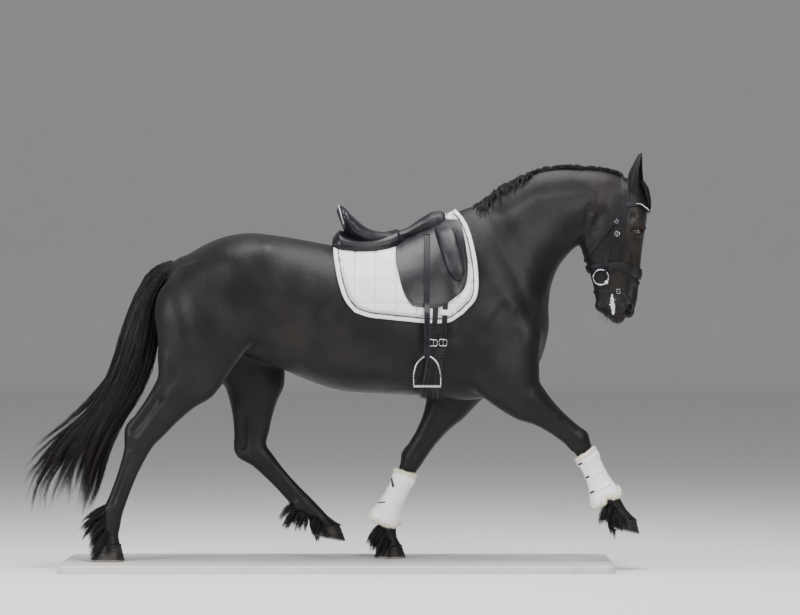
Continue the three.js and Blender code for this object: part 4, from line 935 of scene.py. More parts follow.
# The distance to the finished hide, kept on an even grid, lays every piece that rests on the horse.
CELL = 9.0
hide = openvdb.FloatGrid.createLevelSetFromPolygons(
    in_millimetres(skin).astype(np.float32),
    triangles=triangles_of(skin).astype(np.uint32),
    transform=openvdb.createLinearTransform(voxelSize=CELL),
    halfWidth=9,
)
CELL_FIRST = np.floor(np.array([-1250, -400, -60]) / CELL).astype(int)
hide_distance = np.empty(np.ceil(np.array([2650, 800, 1900]) / CELL).astype(int), np.float32)
hide.copyToArray(hide_distance, ijk=tuple(int(v) for v in CELL_FIRST))


def distance(points):
    """The distance to the hide at points, between the eight nearest grid values."""
    at = np.clip(np.asarray(points) / CELL - CELL_FIRST, 0, np.array(hide_distance.shape) - 1.001)
    low = at.astype(int)
    f = at - low
    total = 0
    for corner in np.ndindex(2, 2, 2):
        weight = np.prod(np.where(np.array(corner) == 1, f, 1 - f), axis=-1)
        total = total + weight * hide_distance[tuple(np.moveaxis(low + corner, -1, 0))]
    return total


def laid(points, way, out):
    """Points moved along their unit ways until they are out millimetres off the hide."""
    for _ in range(14):
        points = points + way * (out - distance(points))[..., None]
    return points


def softened(path, times, ring=False):
    """A path whose points are moved to (before + 2 here + after) / 4 that many times; the ends of an
    open one stay."""
    path = path.copy()
    for _ in range(times):
        if ring:
            path = (np.roll(path, 1, axis=0) + 2 * path + np.roll(path, -1, axis=0)) / 4
        else:
            path[1:-1] = (path[:-2] + 2 * path[1:-1] + path[2:]) / 4
    return path


def normal_on(rows, u, t):
    """The outward unit normal of a loft: the cross product of its two slopes, turned outwards."""
    here = on_loft(rows, u, t)
    down = on_loft(rows, u + 0.02, t) - on_loft(rows, u - 0.02, t)
    round_it = on_loft(rows, u, t + 0.02) - on_loft(rows, u, t - 0.02)
    normal = unit(np.cross(down, round_it))
    lifted = on_loft(rows, u, t, 20) - here
    return normal * np.sign(np.sum(normal * lifted, axis=-1, keepdims=True) + 1e-12)


def resting(rows, u, t, out, guess):
    """Points on the hide: a loft's points at stations u and angles t, lifted by a guess and then laid
    out millimetres off the hide along the loft's normals."""
    return laid(on_loft(rows, u, t, guess), normal_on(rows, u, t), out)


def found_on(rows, line):
    """Stations and angles (0 to pi) of points [x, z] seen from the side: the station whose section
    passes through the point, and the angle at which the section reaches that share of its length."""
    line = np.asarray(line, float)
    stations = np.linspace(0, len(rows) - 1, 30 * len(rows))
    table = between(rows, stations)
    a, b = table[:, 0:2], table[:, 2:4]
    way = b - a
    ahead = way[:, 0] * (line[:, None, 1] - a[:, 1]) - way[:, 1] * (line[:, None, 0] - a[:, 0])
    ahead /= np.linalg.norm(way, axis=1)
    cross = np.clip(np.abs(ahead).argmin(axis=1), 1, len(stations) - 2)
    at = np.arange(len(line))
    slope = (ahead[at, cross + 1] - ahead[at, cross - 1]) / 2
    found = stations[cross] - np.clip(ahead[at, cross] / slope, -1, 1) * stations[1]
    row = between(rows, found)
    a, b, m, ea, eb = row[:, 0:2], row[:, 2:4], row[:, 6], row[:, 7], row[:, 8]
    share = np.sum((line - a) * (b - a), axis=1) / np.sum((b - a) ** 2, axis=1)
    share = np.clip(share, 0, 1)
    upper = np.clip((m - share) / m, 0, 1) ** (ea / 2)
    lower = np.clip((share - m) / (1 - m), 0, 1) ** (eb / 2)
    return found, np.arccos(np.where(share < m, upper, -lower))


def curved(points, count):
    """Even points on a smooth Catmull-Rom curve through the given ones."""
    points = np.asarray(points, float)
    gaps = np.maximum(np.linalg.norm(np.diff(points, axis=0), axis=1), 1e-9)
    knots = np.concatenate([[0], np.cumsum(gaps)])
    at = np.linspace(0, knots[-1], count)
    i = np.clip(np.searchsorted(knots, at, side="right") - 1, 0, len(points) - 2)
    rate = np.diff(points, axis=0) / gaps[:, None]
    slope = np.vstack([rate[:1], (rate[1:] + rate[:-1]) / 2, rate[-1:]])
    h = gaps[i][:, None]
    f = ((at - knots[i]) / gaps[i])[:, None]
    return (
        (2 * f**3 - 3 * f**2 + 1) * points[i] + (f**3 - 2 * f**2 + f) * h * slope[i]
        + (3 * f**2 - 2 * f**3) * points[i + 1] + (f**3 - f**2) * h * slope[i + 1]
    )


# Eyes: a wet dark ball deep in each socket, with a wide pupil, and lids that fold round it. The lids are
# hide, thick at the rim, with lashes on the upper one.
EYE_SIDES = 40
GAZE = [0.34, 0.93, -0.06]
LID_REACH = np.array([-0.05, 0.0, 0.05, 0.13, 0.22, 0.32, 0.44, 0.58, 0.75, 0.95])[:, None]
LID_RISE = np.array([-2.5, 0.5, 3.4, 4.6, 4.4, 4.9, 6.6, 8.2, 7.6, 2.0])[:, None]
HALF_WIDE = 0.90
LASHES = 70
eye_glass = Finish("wet_eye", (0.01, 0.006, 0.004), roughness=0.04, coat_weight=1.0, coat_roughness=0.02)
iris = eye_glass.attribute("iris")
pupil = eye_glass.attribute("pupil")
rays = eye_glass.noise(420, 3)
iris_color = eye_glass.mix(rays, (0.008, 0.004, 0.002), (0.018, 0.009, 0.005))
eye_color = eye_glass.mix(iris, (0.012, 0.008, 0.006), iris_color)
eye_glass.feed(base_color=eye_glass.mix(pupil, eye_color, (0.004, 0.003, 0.004)))
lid_skin = Finish("lid_skin", (0.007, 0.006, 0.006), roughness=0.36, specular_ior_level=0.22)
lid_folds = lid_skin.noise(240, 4, (1, 1, 1.8))
lid_skin.feed(
    base_color=lid_skin.mix(lid_skin.noise(60, 2), (0.006, 0.0055, 0.0055), (0.014, 0.011, 0.0095)),
    roughness=0.3 + 0.3 * lid_folds,
    normal=lid_skin.bump(lid_folds, 0.0012, 0.7),
)
SIDES = (("right", -1), ("left", 1))
UP = np.array([0, 0, 1.0])
for name, sign in SIDES:
    centre = EYE * np.array([1, sign, 1])
    facing = unit(np.array([GAZE[0], sign * GAZE[1], GAZE[2]]))
    level = unit(np.cross(UP, facing)) * -sign
    level = level * 0.97 - UP * 0.24
    level = unit(level - facing * (level @ facing))
    raised = np.cross(facing, level) * np.sign(np.cross(facing, level)[2])
    points, quads, fans = ball(centre, [EYE_RADIUS - 0.4] * 3, 48, 33)
    way = unit(points - centre)
    points += way * (1.6 * np.exp(-(((way @ facing) - 1) / 0.10) ** 2))[:, None]
    eye = mesh_object(f"eye_{name}", place(points), [quads, fans])
    keep_number(eye, "iris", np.clip((way @ facing - 0.60) / 0.08, 0, 1))
    oval = ((way @ level) / 0.44) ** 2 + ((way @ raised) / 0.22) ** 2
    keep_number(eye, "pupil", np.clip((1.0 - oval) * 4, 0, 1) * (way @ facing > 0))
    fit(eye, eye_glass, "eye", f"eye_{name}")

    turn = (np.arange(EYE_SIDES) * 2 * np.pi / EYE_SIDES)[None, :]
    c, s = np.cos(turn), np.sin(turn)
    rim = np.stack([c * HALF_WIDE, np.sign(s) * np.abs(s) ** 0.85 * np.where(s > 0, 0.66, 0.54)], -1)
    step = np.linspace(0, 1, len(LID_RISE))[:, None]
    tilt = np.linalg.norm(rim, axis=-1) + LID_REACH
    above = np.clip(s, 0, 1)
    crease = 2.2 * np.exp(-(((step - 0.5) / 0.12) ** 2)) * above
    fold = 1.6 * np.exp(-(((step - 0.68) / 0.1) ** 2)) * above
    radius = EYE_RADIUS + LID_RISE - crease + fold
    heading = unit(rim)
    aside = heading[..., :1] * level + heading[..., 1:] * raised
    lids = centre + radius[..., None] * (np.cos(tilt)[..., None] * facing + np.sin(tilt)[..., None] * aside)
    lid = mesh_object(f"eyelids_{name}", place(lids.reshape(-1, 3)), grid_faces(len(LID_RISE), EYE_SIDES))
    thick = lid.modifiers.new("thick", "SOLIDIFY")
    thick.thickness = 0.0008
    thick.offset = -1
    smooth = lid.modifiers.new("smooth", "SUBSURF")
    smooth.levels = smooth.render_levels = 1
    fit(lid, lid_skin, "coat")

    turn = np.linspace(0.12, 0.88, LASHES) * np.pi
    s = np.linspace(0, 1, 5)[None, :]
    rim = np.stack([np.cos(turn) * HALF_WIDE, np.sin(turn) ** 0.85 * 0.56], -1)
    heading = unit(rim)
    aside = heading[:, :1] * level + heading[:, 1:] * raised
    tilt = (np.linalg.norm(rim, axis=-1) + 0.06)[:, None]
    root = centre + (EYE_RADIUS + 2.6) * (np.cos(tilt) * facing + np.sin(tilt) * aside)
    reach = (13 + 5 * draw.random((LASHES, 1, 1))) * s[..., None]
    lash = root[:, None] + reach * (facing * 0.85 + level * 0.2) + reach**2 * np.array([0, 0, -0.018])
    lash = hairs_object(
        f"lashes_{name}", lash, UP, np.full(LASHES, 0.8),
        unwrapped("head", np.full(LASHES, 0.4), turn), draw.random(LASHES), 1,
    )
    fit(lash, hair, "long_hair")

# Ears: a leaf of gristle rolled into a cup that opens forwards and outwards, with hair along its edges
# and fine hair inside. The wall is even and its foot sinks in the hide.
EAR = np.array([
    section([1262, 1622], [1200, 1616], 24, -44),
    section([1266, 1640], [1204, 1634], 25, -48),
    section([1272, 1672], [1202, 1668], 27, -54),
    section([1276, 1706], [1206, 1702], 29, -60),
    section([1270, 1752], [1216, 1748], 25, -66),
    section([1266, 1794], [1238, 1790], 14, -68),
    section([1264, 1828], [1256, 1826], 3, -66),
])
EAR_ROWS = 44
EAR_ACROSS = 30
EAR_WALL = 3.2
EAR_GAPE = [0.25, 0.5, 0.85, 1.0, 0.95, 0.8, 0.6]
EAR_HAIRS = 900
MOUTH_AT = 0.42
for name, sign in SIDES:
    u = np.linspace(0, len(EAR) - 1, EAR_ROWS)[:, None]
    share = np.linspace(-1, 1, EAR_ACROSS)[None, :]
    turned = MOUTH_AT + np.pi + share * (np.pi - np.interp(u, range(7), EAR_GAPE))
    outer = on_loft(EAR, u, -turned)
    spine = (on_loft(EAR, u, 0 * turned) + on_loft(EAR, u, 0 * turned + np.pi)) / 2
    inward = unit(spine - outer)
    thinner = np.clip(1.15 - np.abs(share) ** 4, 0.25, 1) * np.interp(u, [0, 5.2, 6], [1, 0.8, 0.25])
    wall = EAR_WALL * thinner
    edge = np.clip((np.abs(share) - 0.75) / 0.25, 0, 1) ** 2
    outer = outer - inward * (1.8 * edge * np.interp(u, [0, 2, 5, 6], [0, 1, 0.6, 0]))[..., None]
    inner = outer + inward * wall[..., None]
    ring = np.concatenate([outer, inner[:, ::-1]], axis=1)
    ring[..., 1] = np.where(sign > 0, -ring[..., 1], ring[..., 1])
    points, quads, fans = closed_tube(ring)
    ear = mesh_object(f"ear_{name}", place(points), [quads, fans])
    keep_number(ear, "warm", np.full(len(points), 0.15))
    keep_number(ear, "upright", np.ones(len(points)))
    fit(ear, coat, "coat", f"ear_{name}")

    u = draw.uniform(1.6, 5.6, EAR_HAIRS)
    rim = draw.random(EAR_HAIRS) < 0.62
    on_edge = np.sign(draw.random(EAR_HAIRS) - 0.5) * draw.uniform(0.9, 1.0, EAR_HAIRS)
    share = np.where(rim, on_edge, draw.uniform(-0.8, 0.8, EAR_HAIRS))
    turned = MOUTH_AT + np.pi + share * (np.pi - np.interp(u, range(7), EAR_GAPE))
    root = on_loft(EAR, u, -turned, np.where(rim, -1.0, -3.6))
    tip_way = unit(on_loft(EAR, np.minimum(u + 0.4, 6), -turned) - on_loft(EAR, u, -turned))
    mouth = unit(on_loft(EAR, u, np.full(EAR_HAIRS, -MOUTH_AT)) - root)
    s = np.linspace(0, 1, 4)[None, :, None]
    length = np.where(rim, draw.uniform(6, 12, EAR_HAIRS), draw.uniform(9, 18, EAR_HAIRS))
    ways = tip_way[:, None] * 0.8 * s + mouth[:, None] * (0.45 * s - 0.2 * s * s)
    fluff = root[:, None] + length[:, None, None] * ways
    fluff[..., 1] = np.where(sign > 0, -fluff[..., 1], fluff[..., 1])
    fluff = hairs_object(
        f"ear_hair_{name}", fluff, draw.normal(size=(EAR_HAIRS, 3)), draw.uniform(0.9, 1.5, EAR_HAIRS),
        unwrapped("head", u / 60, turned), draw.random(EAR_HAIRS), 0.6,
    )
    fit(fluff, hair, "long_hair")

# Hooves: horn that grows in rings from a soft coronet, worn and dusty towards the ground, each on a
# plain steel shoe that is let in flush with the sole.
def soft_edges(piece, width, segments=3, above=np.pi / 6):
    """A piece whose edges sharper than an angle are rounded over a width in millimetres."""
    rounding = piece.modifiers.new("rounding", "BEVEL")
    rounding.width = width / 1000
    rounding.segments = segments
    rounding.limit_method = "ANGLE"
    rounding.angle_limit = above


HOOF_TOP_FLARE = 2
HOOF_HALF_WIDTH = 63
SHOE_THICK = 8
horn = Finish("hoof_horn", (0.02, 0.018, 0.018), roughness=0.55, specular_ior_level=0.25)
horn_low = horn.attribute("low")
horn_dust = horn.noise(20, 5).between(0.48, 0.68)
horn_lines = horn.noise(160, 3, (1, 1, 0.25))
horn_color = horn.mix(horn_lines, (0.006, 0.006, 0.007), (0.019, 0.018, 0.018))
horn_color = horn.mix(horn_dust * horn_low * 0.6, horn_color, (0.10, 0.082, 0.068))
horn.feed(
    base_color=horn_color,
    roughness=0.5 + 0.3 * horn_dust * horn_low,
    normal=horn.bump(horn_lines, 0.0014, 0.6),
)
shoe_steel = Finish("shoe_steel", (0.2, 0.17, 0.15), metallic=0.8, roughness=0.5)
worn = shoe_steel.noise(60, 4)
shoe_steel.feed(
    base_color=shoe_steel.mix(worn, (0.13, 0.10, 0.085), (0.36, 0.33, 0.31)),
    roughness=0.35 + 0.4 * worn,
    normal=shoe_steel.bump(worn, 0.0008, 0.5),
)
for name, leg in LEGS.items():
    last = leg["rows"][-1]
    toe, heel = np.array(leg["toe"], float), np.array(leg["heel"], float)
    front, rear = last[0:2], last[2:4]
    flare = unit(front - rear) * HOOF_TOP_FLARE
    sole = unit(toe - heel)
    below = np.array([sole[1], -sole[0]])
    low_toe, low_heel = toe - below * SHOE_THICK, heel - below * SHOE_THICK

    def level_row(share, grow=0.0, square=2.2):
        """A row of the hoof, the share of the way from coronet to shoe, its edges grown by a little."""
        a = front + flare + (low_toe - front - flare) * share
        b = rear - flare + (low_heel - rear + flare) * share
        w = last[4] + HOOF_TOP_FLARE + (HOOF_HALF_WIDTH - last[4] - HOOF_TOP_FLARE) * share**0.7
        out = sole * grow
        return section(a + out, b - out, w + grow, last[5], 0.5 - 0.08 * share, square, 2.3)

    shares = np.linspace(0, 1, 12)
    growth = 1.3 * np.sin(shares * 21) * (1 - shares * 0.5) + 2.5 * np.exp(-((shares / 0.08) ** 2))
    rows = np.array([level_row(share, grow) for share, grow in zip(shares, growth - 0.8)])
    points, quads, fans = loft(rows, 4, 48)
    hoof = mesh_object(f"hoof_{name}", place(points), [quads, fans])
    drop = (points[:, [0, 2]] - toe) @ below
    keep_number(hoof, "low", np.clip(1 + drop / 70, 0, 1))
    fit(hoof, horn, "hoof_horn", f"hoof_{name}")

    turn = np.linspace(-2.35, 2.35, 60)
    outer, inner = (
        on_loft(np.array([level_row(1.0, grow)] * 2), np.full(60, 0.5), turn) for grow in (0.5, -20)
    )
    top, bottom = 0.3 * np.array([below[0], 0, below[1]]), 7.6 * np.array([below[0], 0, below[1]])
    rings = np.stack([outer + top, outer + bottom, inner + bottom, inner + top], axis=1)
    shoe = piece_of(f"shoe_{name}", closed_tube(rings))
    soft_edges(shoe, 1.2, 2)
    fit(shoe, shoe_steel, "polished_steel")


# Boots: a white sleeve of padded leather round each fore cannon, that widens over the fetlock, with a
# roll of cream fleece at its top and bottom and three white straps with dark tabs that close it on the
# outside.
def outward(points):
    """The hide's outward unit normal near points: the slope of the distance over one cell each way."""
    steps = np.eye(3) * CELL
    return unit(np.stack([distance(points + step) - distance(points - step) for step in steps], -1))


def rounded(width, height, power=3.0, count=16):
    """A closed profile [a, b]: a superellipse of that width and height, |cos|, |sin| to 2/power."""
    turn = (np.arange(count) + 0.5) * 2 * np.pi / count
    c, s = np.cos(turn), np.sin(turn)
    a = np.sign(c) * np.abs(c) ** (2 / power) * width / 2
    return np.stack([a, np.sign(s) * np.abs(s) ** (2 / power) * height / 2], -1)


def turned_out(piece):
    """The piece with its faces turned outwards, by the sign of the volume that they enclose."""
    a, b, c = positions(piece)[triangles_of(piece)].transpose(1, 0, 2)
    if np.sum(a * np.cross(b, c)) < 0:
        piece.data.flip_normals()
    return piece


def swept(name, path, ups, profile, ring=False):
    """A piece drawn along a path: each ring is path + sides * a + ups * b over the profile's [a, b],
    sides = along x ups. Its attributes are the place along it in metres and across it, -1 to 1."""
    if ring:
        along = np.roll(path, -1, axis=0) - np.roll(path, 1, axis=0)
    else:
        along = np.gradient(path, axis=0)
    along = unit(along)
    sides = unit(np.cross(along, ups))
    ups = np.cross(sides, along)
    profile = np.broadcast_to(profile, (len(path), *profile.shape[-2:]))
    rings = path[:, None] + sides[:, None] * profile[..., :1] + ups[:, None] * profile[..., 1:]
    n = rings.shape[1]
    if ring:
        points, faces = rings.reshape(-1, 3), [grid_faces(len(path) + 1, n) % (len(path) * n)]
    else:
        points, quads, fans = closed_tube(rings)
        faces = [quads, fans]
    piece = turned_out(mesh_object(name, place(points), faces))
    run = np.concatenate([[0], np.cumsum(np.linalg.norm(np.diff(path, axis=0), axis=1))]) / 1000
    share = profile[..., 0] / (np.abs(profile[..., 0]).max() + 1e-9)
    ends = [run[0], run[-1]] if not ring else []
    keep_number(piece, "along", np.concatenate([np.repeat(run, n), ends]))
    keep_number(piece, "across", np.concatenate([share.ravel(), [0] * len(ends)]))
    return piece


def fluff_on(name, roots, ways, count, length, width, curl):
    """Short curly hairs over points: each runs out along its way and bends aside in a seeded curl."""
    pick = draw.integers(0, len(roots), count)
    root = roots[pick] + draw.normal(size=(count, 3)) * 1.6
    way = unit(ways[pick] + draw.normal(size=(count, 3)) * 0.35)
    aside = unit(np.cross(way, draw.normal(size=(count, 3))))
    s = np.linspace(0, 1, 5)[None, :, None]
    reach = length * draw.uniform(0.6, 1.1, (count, 1, 1))
    bend = aside[:, None] * np.sin(s * 4.2) + np.cross(way, aside)[:, None] * (1 - np.cos(s * 4.2))
    paths = root[:, None] + reach * way[:, None] * s + reach * curl * bend
    places = np.stack([draw.random(count), draw.random(count)], -1) * 0.98
    widths = draw.uniform(0.7, 1.2, count) * width
    return hairs_object(name, paths, aside, widths, places, draw.random(count), 0.8)


# The boot's rows: the way down the cannon, the reach to its front and rear, its half width
BOOT = [
    [0.21, 42, 44, 43], [0.26, 51, 54, 51], [0.47, 47, 54, 45], [0.68, 46, 60, 46],
    [0.84, 50, 72, 52], [0.96, 58, 84, 59], [1.06, 54, 78, 56], [1.09, 44, 52, 46],
]
boot_shell = Finish("white_boot", (0.86, 0.86, 0.87), roughness=0.45, specular_ior_level=0.4)
creases = boot_shell.noise(28, 4, (1, 1, 2.2))
pores = boot_shell.cells(900)
rubbed = boot_shell.noise(12, 5).between(0.5, 0.75)
boot_shell.feed(
    base_color=boot_shell.mix(rubbed, (0.88, 0.88, 0.89), (0.76, 0.75, 0.73)),
    roughness=0.4 + 0.25 * rubbed,
    normal=boot_shell.bump(pores, 0.0003, 0.35, boot_shell.bump(creases, 0.003, 0.5)),
)
fleece = Finish("cream_fleece", (0.70, 0.65, 0.55), roughness=0.95, sheen_weight=0.6, sheen_roughness=0.6)
curls = fleece.noise(170, 5)
clumps = fleece.noise(45, 3)
fleece.feed(
    base_color=fleece.mix(clumps.between(0.35, 0.65), (0.74, 0.67, 0.49), (0.86, 0.82, 0.67)),
    normal=fleece.bump(curls, 0.004, 0.9),
)
dark_web = Finish("dark_webbing", (0.02, 0.02, 0.022), roughness=0.75)
ribs = (dark_web.attribute("along") * 2600).math("SINE")
dark_web.feed(
    base_color=dark_web.mix(dark_web.noise(90), (0.014, 0.014, 0.016), (0.035, 0.034, 0.036)),
    normal=dark_web.bump(ribs, 0.0004, 0.6),
)


def hem(name, around):
    """The station of the boot's lower edge round the leg, in lobes: two on each side of the right boot,
    one on each side of the left, cut up between them by depth (1 - |sin(lobes a)|)."""
    lobes, tilt = (2, -0.1) if name == "front_right" else (1, -0.25)
    return 6.3 + tilt * np.cos(around) - 1.15 * (1 - np.abs(np.sin(lobes * around)))


for name in ("front_right", "front_left"):
    leg = LEGS[name]
    joints = np.array(leg["joints"], float)
    run = joints[2] - joints[1]
    square = np.array([-run[1], run[0]]) / np.hypot(run[0], run[1])
    square = square if square[0] > 0 else -square
    rows = []
    for way, front, rear, w in BOOT:
        x, z, y = joints[1] + run * way
        middle = np.array([x, z])
        rows.append(section(middle + square * front, middle - square * rear, w - 1.5, y, 0.46, 2.2, 2.1))
    rows = np.array(rows)
    turn = np.linspace(-np.pi, np.pi, 73)[:-1]
    u = 0.55 + (hem(name, turn) - 0.45) * np.linspace(0, 1, 60)[:, None]
    seam = -1.2 * np.exp(-(((turn + 2.1) / 0.035) ** 2)) - 1.0 * np.exp(-((turn / 0.03) ** 2))
    behind = turn - np.pi * np.sign(turn)
    strike = 2.2 * np.exp(-((behind / 0.5) ** 2) - ((u - 4.2) / 1.6) ** 2)
    slack = 0.9 * np.sin(u * 9 + 1.4 * np.cos(turn)) * np.exp(-(((u - 2.9) / 1.2) ** 2)) * np.cos(turn) ** 2
    outer = on_loft(rows, u, turn, -2.5 + seam + strike + slack)
    inner = on_loft(rows, u[::-1], turn, -7.5)
    wall = np.concatenate([outer, inner])
    faces = grid_faces(len(wall) + 1, 72) % (len(wall) * 72)
    boot = turned_out(mesh_object(f"boot_{name}", place(wall.reshape(-1, 3)), [faces]))
    soft_edges(boot, 1.8, 3, 0.8)
    fit(boot, boot_shell, "boot_fleece", f"boot_{name}")

    # The rolls: round cords of fleece, the upper one tilted up to the front, the lower one along the hem
    around = np.linspace(0, 2 * np.pi, 97)[:-1]
    top_line = 0.62 - 0.35 * np.cos(around)
    for place_name, lift, thick, out in (("top", top_line, 19, -3), ("bottom", hem(name, around), 22, -4)):
        lumps = 0.10 * np.sin(around * 9 + 1) + 0.07 * np.sin(around * 17 + 2)
        lumps += 0.05 * np.sin(around * 31)
        path = on_loft(rows, lift, around, out)
        ups = normal_on(rows, lift, around)
        profile = rounded(thick, thick * 0.85, 2.0, 14)[None] * (1 + lumps)[:, None, None]
        roll = swept(f"boot_fleece_{place_name}_{name}", path, ups, profile, ring=True)
        fit(roll, fleece, "boot_fleece")
        name_of_pile = f"boot_pile_{place_name}_{name}"
        pile = fluff_on(name_of_pile, in_millimetres(roll), normals_of(roll), 1150, 5.5, 1.5, 0.28)
        fit(pile, fleece, "boot_fleece")

    # The straps come round the outside from the rear and end on it, each with a tab. On the inside the
    # ends of two straps come out from under the shell. Each: kind, station, slant, arc, out, width, height
    sign = -1 if joints[1][2] < 0 else 1
    straps = []
    for number, station in enumerate((1.35, 2.5, 3.9)):
        straps.append((f"strap_{number}", station, 0, (0.9, 3.0, 40), 0.2, 15, 2.6))
        straps.append((f"tab_{number}", station, 0, (2.2, 2.75, 14), 1.8, 9, 1.8))
    straps.append(("end_0", 2.15, -0.5, (-2.15, -2.8, 14), 0.4, 11, 2.2))
    straps.append(("end_1", 3.5, 0.35, (-2.15, -2.8, 14), 0.4, 6, 2.2))
    for kind, station, slant, arc, out, width, height in straps:
        around = sign * np.linspace(*arc)
        along = station + slant * np.linspace(0, 1, len(around))
        path, ups = on_loft(rows, along, around, out), normal_on(rows, along, around)
        strap = swept(f"boot_{kind}_{name}", path, ups, rounded(width, height, 5, 12))
        if kind.startswith("strap"):
            fit(strap, boot_shell, "boot_fleece")
        else:
            fit(strap, dark_web, "saddle_leather")


# Saddle pad: one white quilted cloth over the back, thick with wadding, sewn through in lines, bound with
# white tape round its rim, with a dark cord and a grey piping sewn on just inside the tape. Along the sewn
# lines the cloth is painted darker grey: painted shade in the quilting grooves.
def four_sided(top, bottom, rear, front, rows, columns):
    """A grid between four edges (Coons): down and across blends of the edges, less their corners."""
    r = np.linspace(0, 1, rows)[:, None, None]
    s = np.linspace(0, 1, columns)[None, :, None]
    top, bottom = (curved(edge, columns)[None] for edge in (top, bottom))
    rear, front = (curved(edge, rows)[:, None] for edge in (rear, front))
    above = (1 - s) * top[:, :1] + s * top[:, -1:]
    below = (1 - s) * bottom[:, :1] + s * bottom[:, -1:]
    return (1 - r) * (top - above) + r * (bottom - below) + (1 - s) * rear + s * front


def rim_of(rows, columns):
    """The numbers of a grid's points round its rim, in order."""
    i = np.arange(rows * columns).reshape(rows, columns)
    return np.concatenate([i[0, :-1], i[:-1, -1], i[-1, :0:-1], i[:0:-1, 0]])


def slab(name, under, over, bevel):
    """A closed sheet between two grids of points, stitched round its rim, which is then rounded."""
    rows, columns = under.shape[:2]
    count = rows * columns
    grid = grid_faces(rows, columns, closed=False)
    rim = rim_of(rows, columns)
    after = np.roll(rim, -1)
    walls = np.stack([rim, after, after + count, rim + count], -1)
    points = np.concatenate([over.reshape(-1, 3), under.reshape(-1, 3)])
    piece = turned_out(mesh_object(name, place(points), [grid, grid[:, ::-1] + count, walls[:, ::-1]]))
    soft_edges(piece, bevel, 3, 0.9)
    return piece


def edge_on(rows, line, sign=-1, count=60):
    """Stations and angles along a side-view line on a loft, its angles on the right or left side. Where
    the line runs past the loft's top or underside, it is cut off there."""
    u, t = found_on(rows, curved(line, count * 4))
    on_side = np.flatnonzero((t > 0.02) & (t < np.pi - 0.02))
    first, last = on_side[0], on_side[-1]
    u, t = u[first : last + 1].copy(), t[first : last + 1].copy()
    t[0] = 0 if first > 0 and t[0] < 0.5 else t[0]
    t[-1] = np.pi if last < 4 * count - 1 and t[-1] > 2.6 else t[-1]
    return curved(np.stack([u, sign * t], -1), count)


PAD_THICK = 17.5
QUILT_DEPTH = 5.0
QUILT_PITCH = 92.0
QUILT_X, QUILT_Z = -20.0, 1244.0
PAD_REAR = [[-125, 1520], [-116, 1400], [-108, 1330], [-86, 1225], [-60, 1160], [-20, 1112]]
PAD_BOTTOM = [[-20, 1112], [40, 1092], [120, 1082], [220, 1072], [330, 1064], [400, 1070], [462, 1106]]
PAD_FRONT = [[405, 1600], [428, 1561], [472, 1500], [509, 1392], [526, 1281], [516, 1170], [462, 1106]]
pad_cloth = Finish("pad_cloth", (0.74, 0.74, 0.75), roughness=0.9, sheen_weight=0.25)
weave = (pad_cloth.axis(0) * 2400).math("SINE") * (pad_cloth.axis(2) * 2400).math("SINE")
# Lines at the quilting pitch along x and z: they sink the cloth's relief and also carry painted shade
seam_relief_and_shade_masks = []
for axis, start in ((0, ORIGIN[0] + QUILT_X / 1000), (2, ORIGIN[2] + QUILT_Z / 1000)):
    wave = ((pad_cloth.axis(axis) - start) * (1000 * np.pi / QUILT_PITCH)).math("SINE").math("ABSOLUTE")
    seam_relief_and_shade_masks.append(1 - wave.between(0.02, 0.16))
seam = seam_relief_and_shade_masks[0].math("MAXIMUM", seam_relief_and_shade_masks[1])
soiled = pad_cloth.noise(9, 5).between(0.52, 0.8)
pad_white = pad_cloth.mix(soiled, (0.78, 0.78, 0.79), (0.66, 0.65, 0.64))
sewn_relief = pad_cloth.bump(seam * -1, 0.002, 0.5, pad_cloth.bump(pad_cloth.noise(14, 3), 0.003, 0.35))
# Along the sewn lines the white is painted darker grey: painted shade in the quilting grooves
pad_cloth.feed(
    base_color=pad_cloth.mix(seam * 0.55, pad_white, (0.42, 0.42, 0.45)),
    normal=pad_cloth.bump(weave, 0.0003, 0.4, sewn_relief),
)
halves = []
for sign in (-1, 1):
    rear = edge_on(TORSO, PAD_REAR, sign)
    front = edge_on(TORSO, PAD_FRONT, sign)
    bottom = edge_on(TORSO, PAD_BOTTOM, sign)
    rear[0, 1] = front[0, 1] = 0
    top = np.stack([np.linspace(rear[0, 0], front[0, 0], 60), np.zeros(60)], -1)
    bottom[0], bottom[-1] = rear[-1], front[-1]
    halves.append(four_sided(top, bottom, rear, front, 74, 104))
spread = np.concatenate([halves[0][::-1], halves[1][1:]])
pad_under = resting(TORSO, spread[..., 0], spread[..., 1], 1.0, 14)
pad_ways = outward(pad_under)
sewn_x = np.abs(np.sin((pad_under[..., 0] - QUILT_X) * np.pi / QUILT_PITCH))
sewn_z = np.abs(np.sin((pad_under[..., 2] - QUILT_Z) * np.pi / QUILT_PITCH))
sewn_z = np.where(np.abs(pad_ways[..., 1]) > 0.35, sewn_z, 1)
quilt = np.clip(np.minimum(sewn_x, sewn_z) * 1.9, 0, 1) ** 0.6
pad_over = pad_under + pad_ways * (PAD_THICK - QUILT_DEPTH * (1 - quilt))[..., None]
saddle_pad = slab("saddle_pad", pad_under, pad_over, 4)
fit(saddle_pad, pad_cloth, "pad_cloth", "saddle_pad")
tape = Finish("pad_tape", (0.76, 0.76, 0.77), roughness=0.8)
rib = (tape.attribute("across") * 40).math("SINE")
tape.feed(
    base_color=tape.mix(tape.noise(20, 4).between(0.5, 0.75), (0.80, 0.80, 0.81), (0.67, 0.66, 0.65)),
    normal=tape.bump(rib, 0.0003, 0.5),
)


def twisted(name, dark, pale, roughness, scale, turns, depth, strength):
    """The finish of a thin cord: two tones of a noise, and a sine wave along it for its twist."""
    cord = Finish(name, pale, roughness=roughness)
    return cord.feed(
        base_color=cord.mix(cord.noise(scale), dark, pale),
        normal=cord.bump((cord.attribute("along") * turns).math("SINE"), depth, strength),
    )


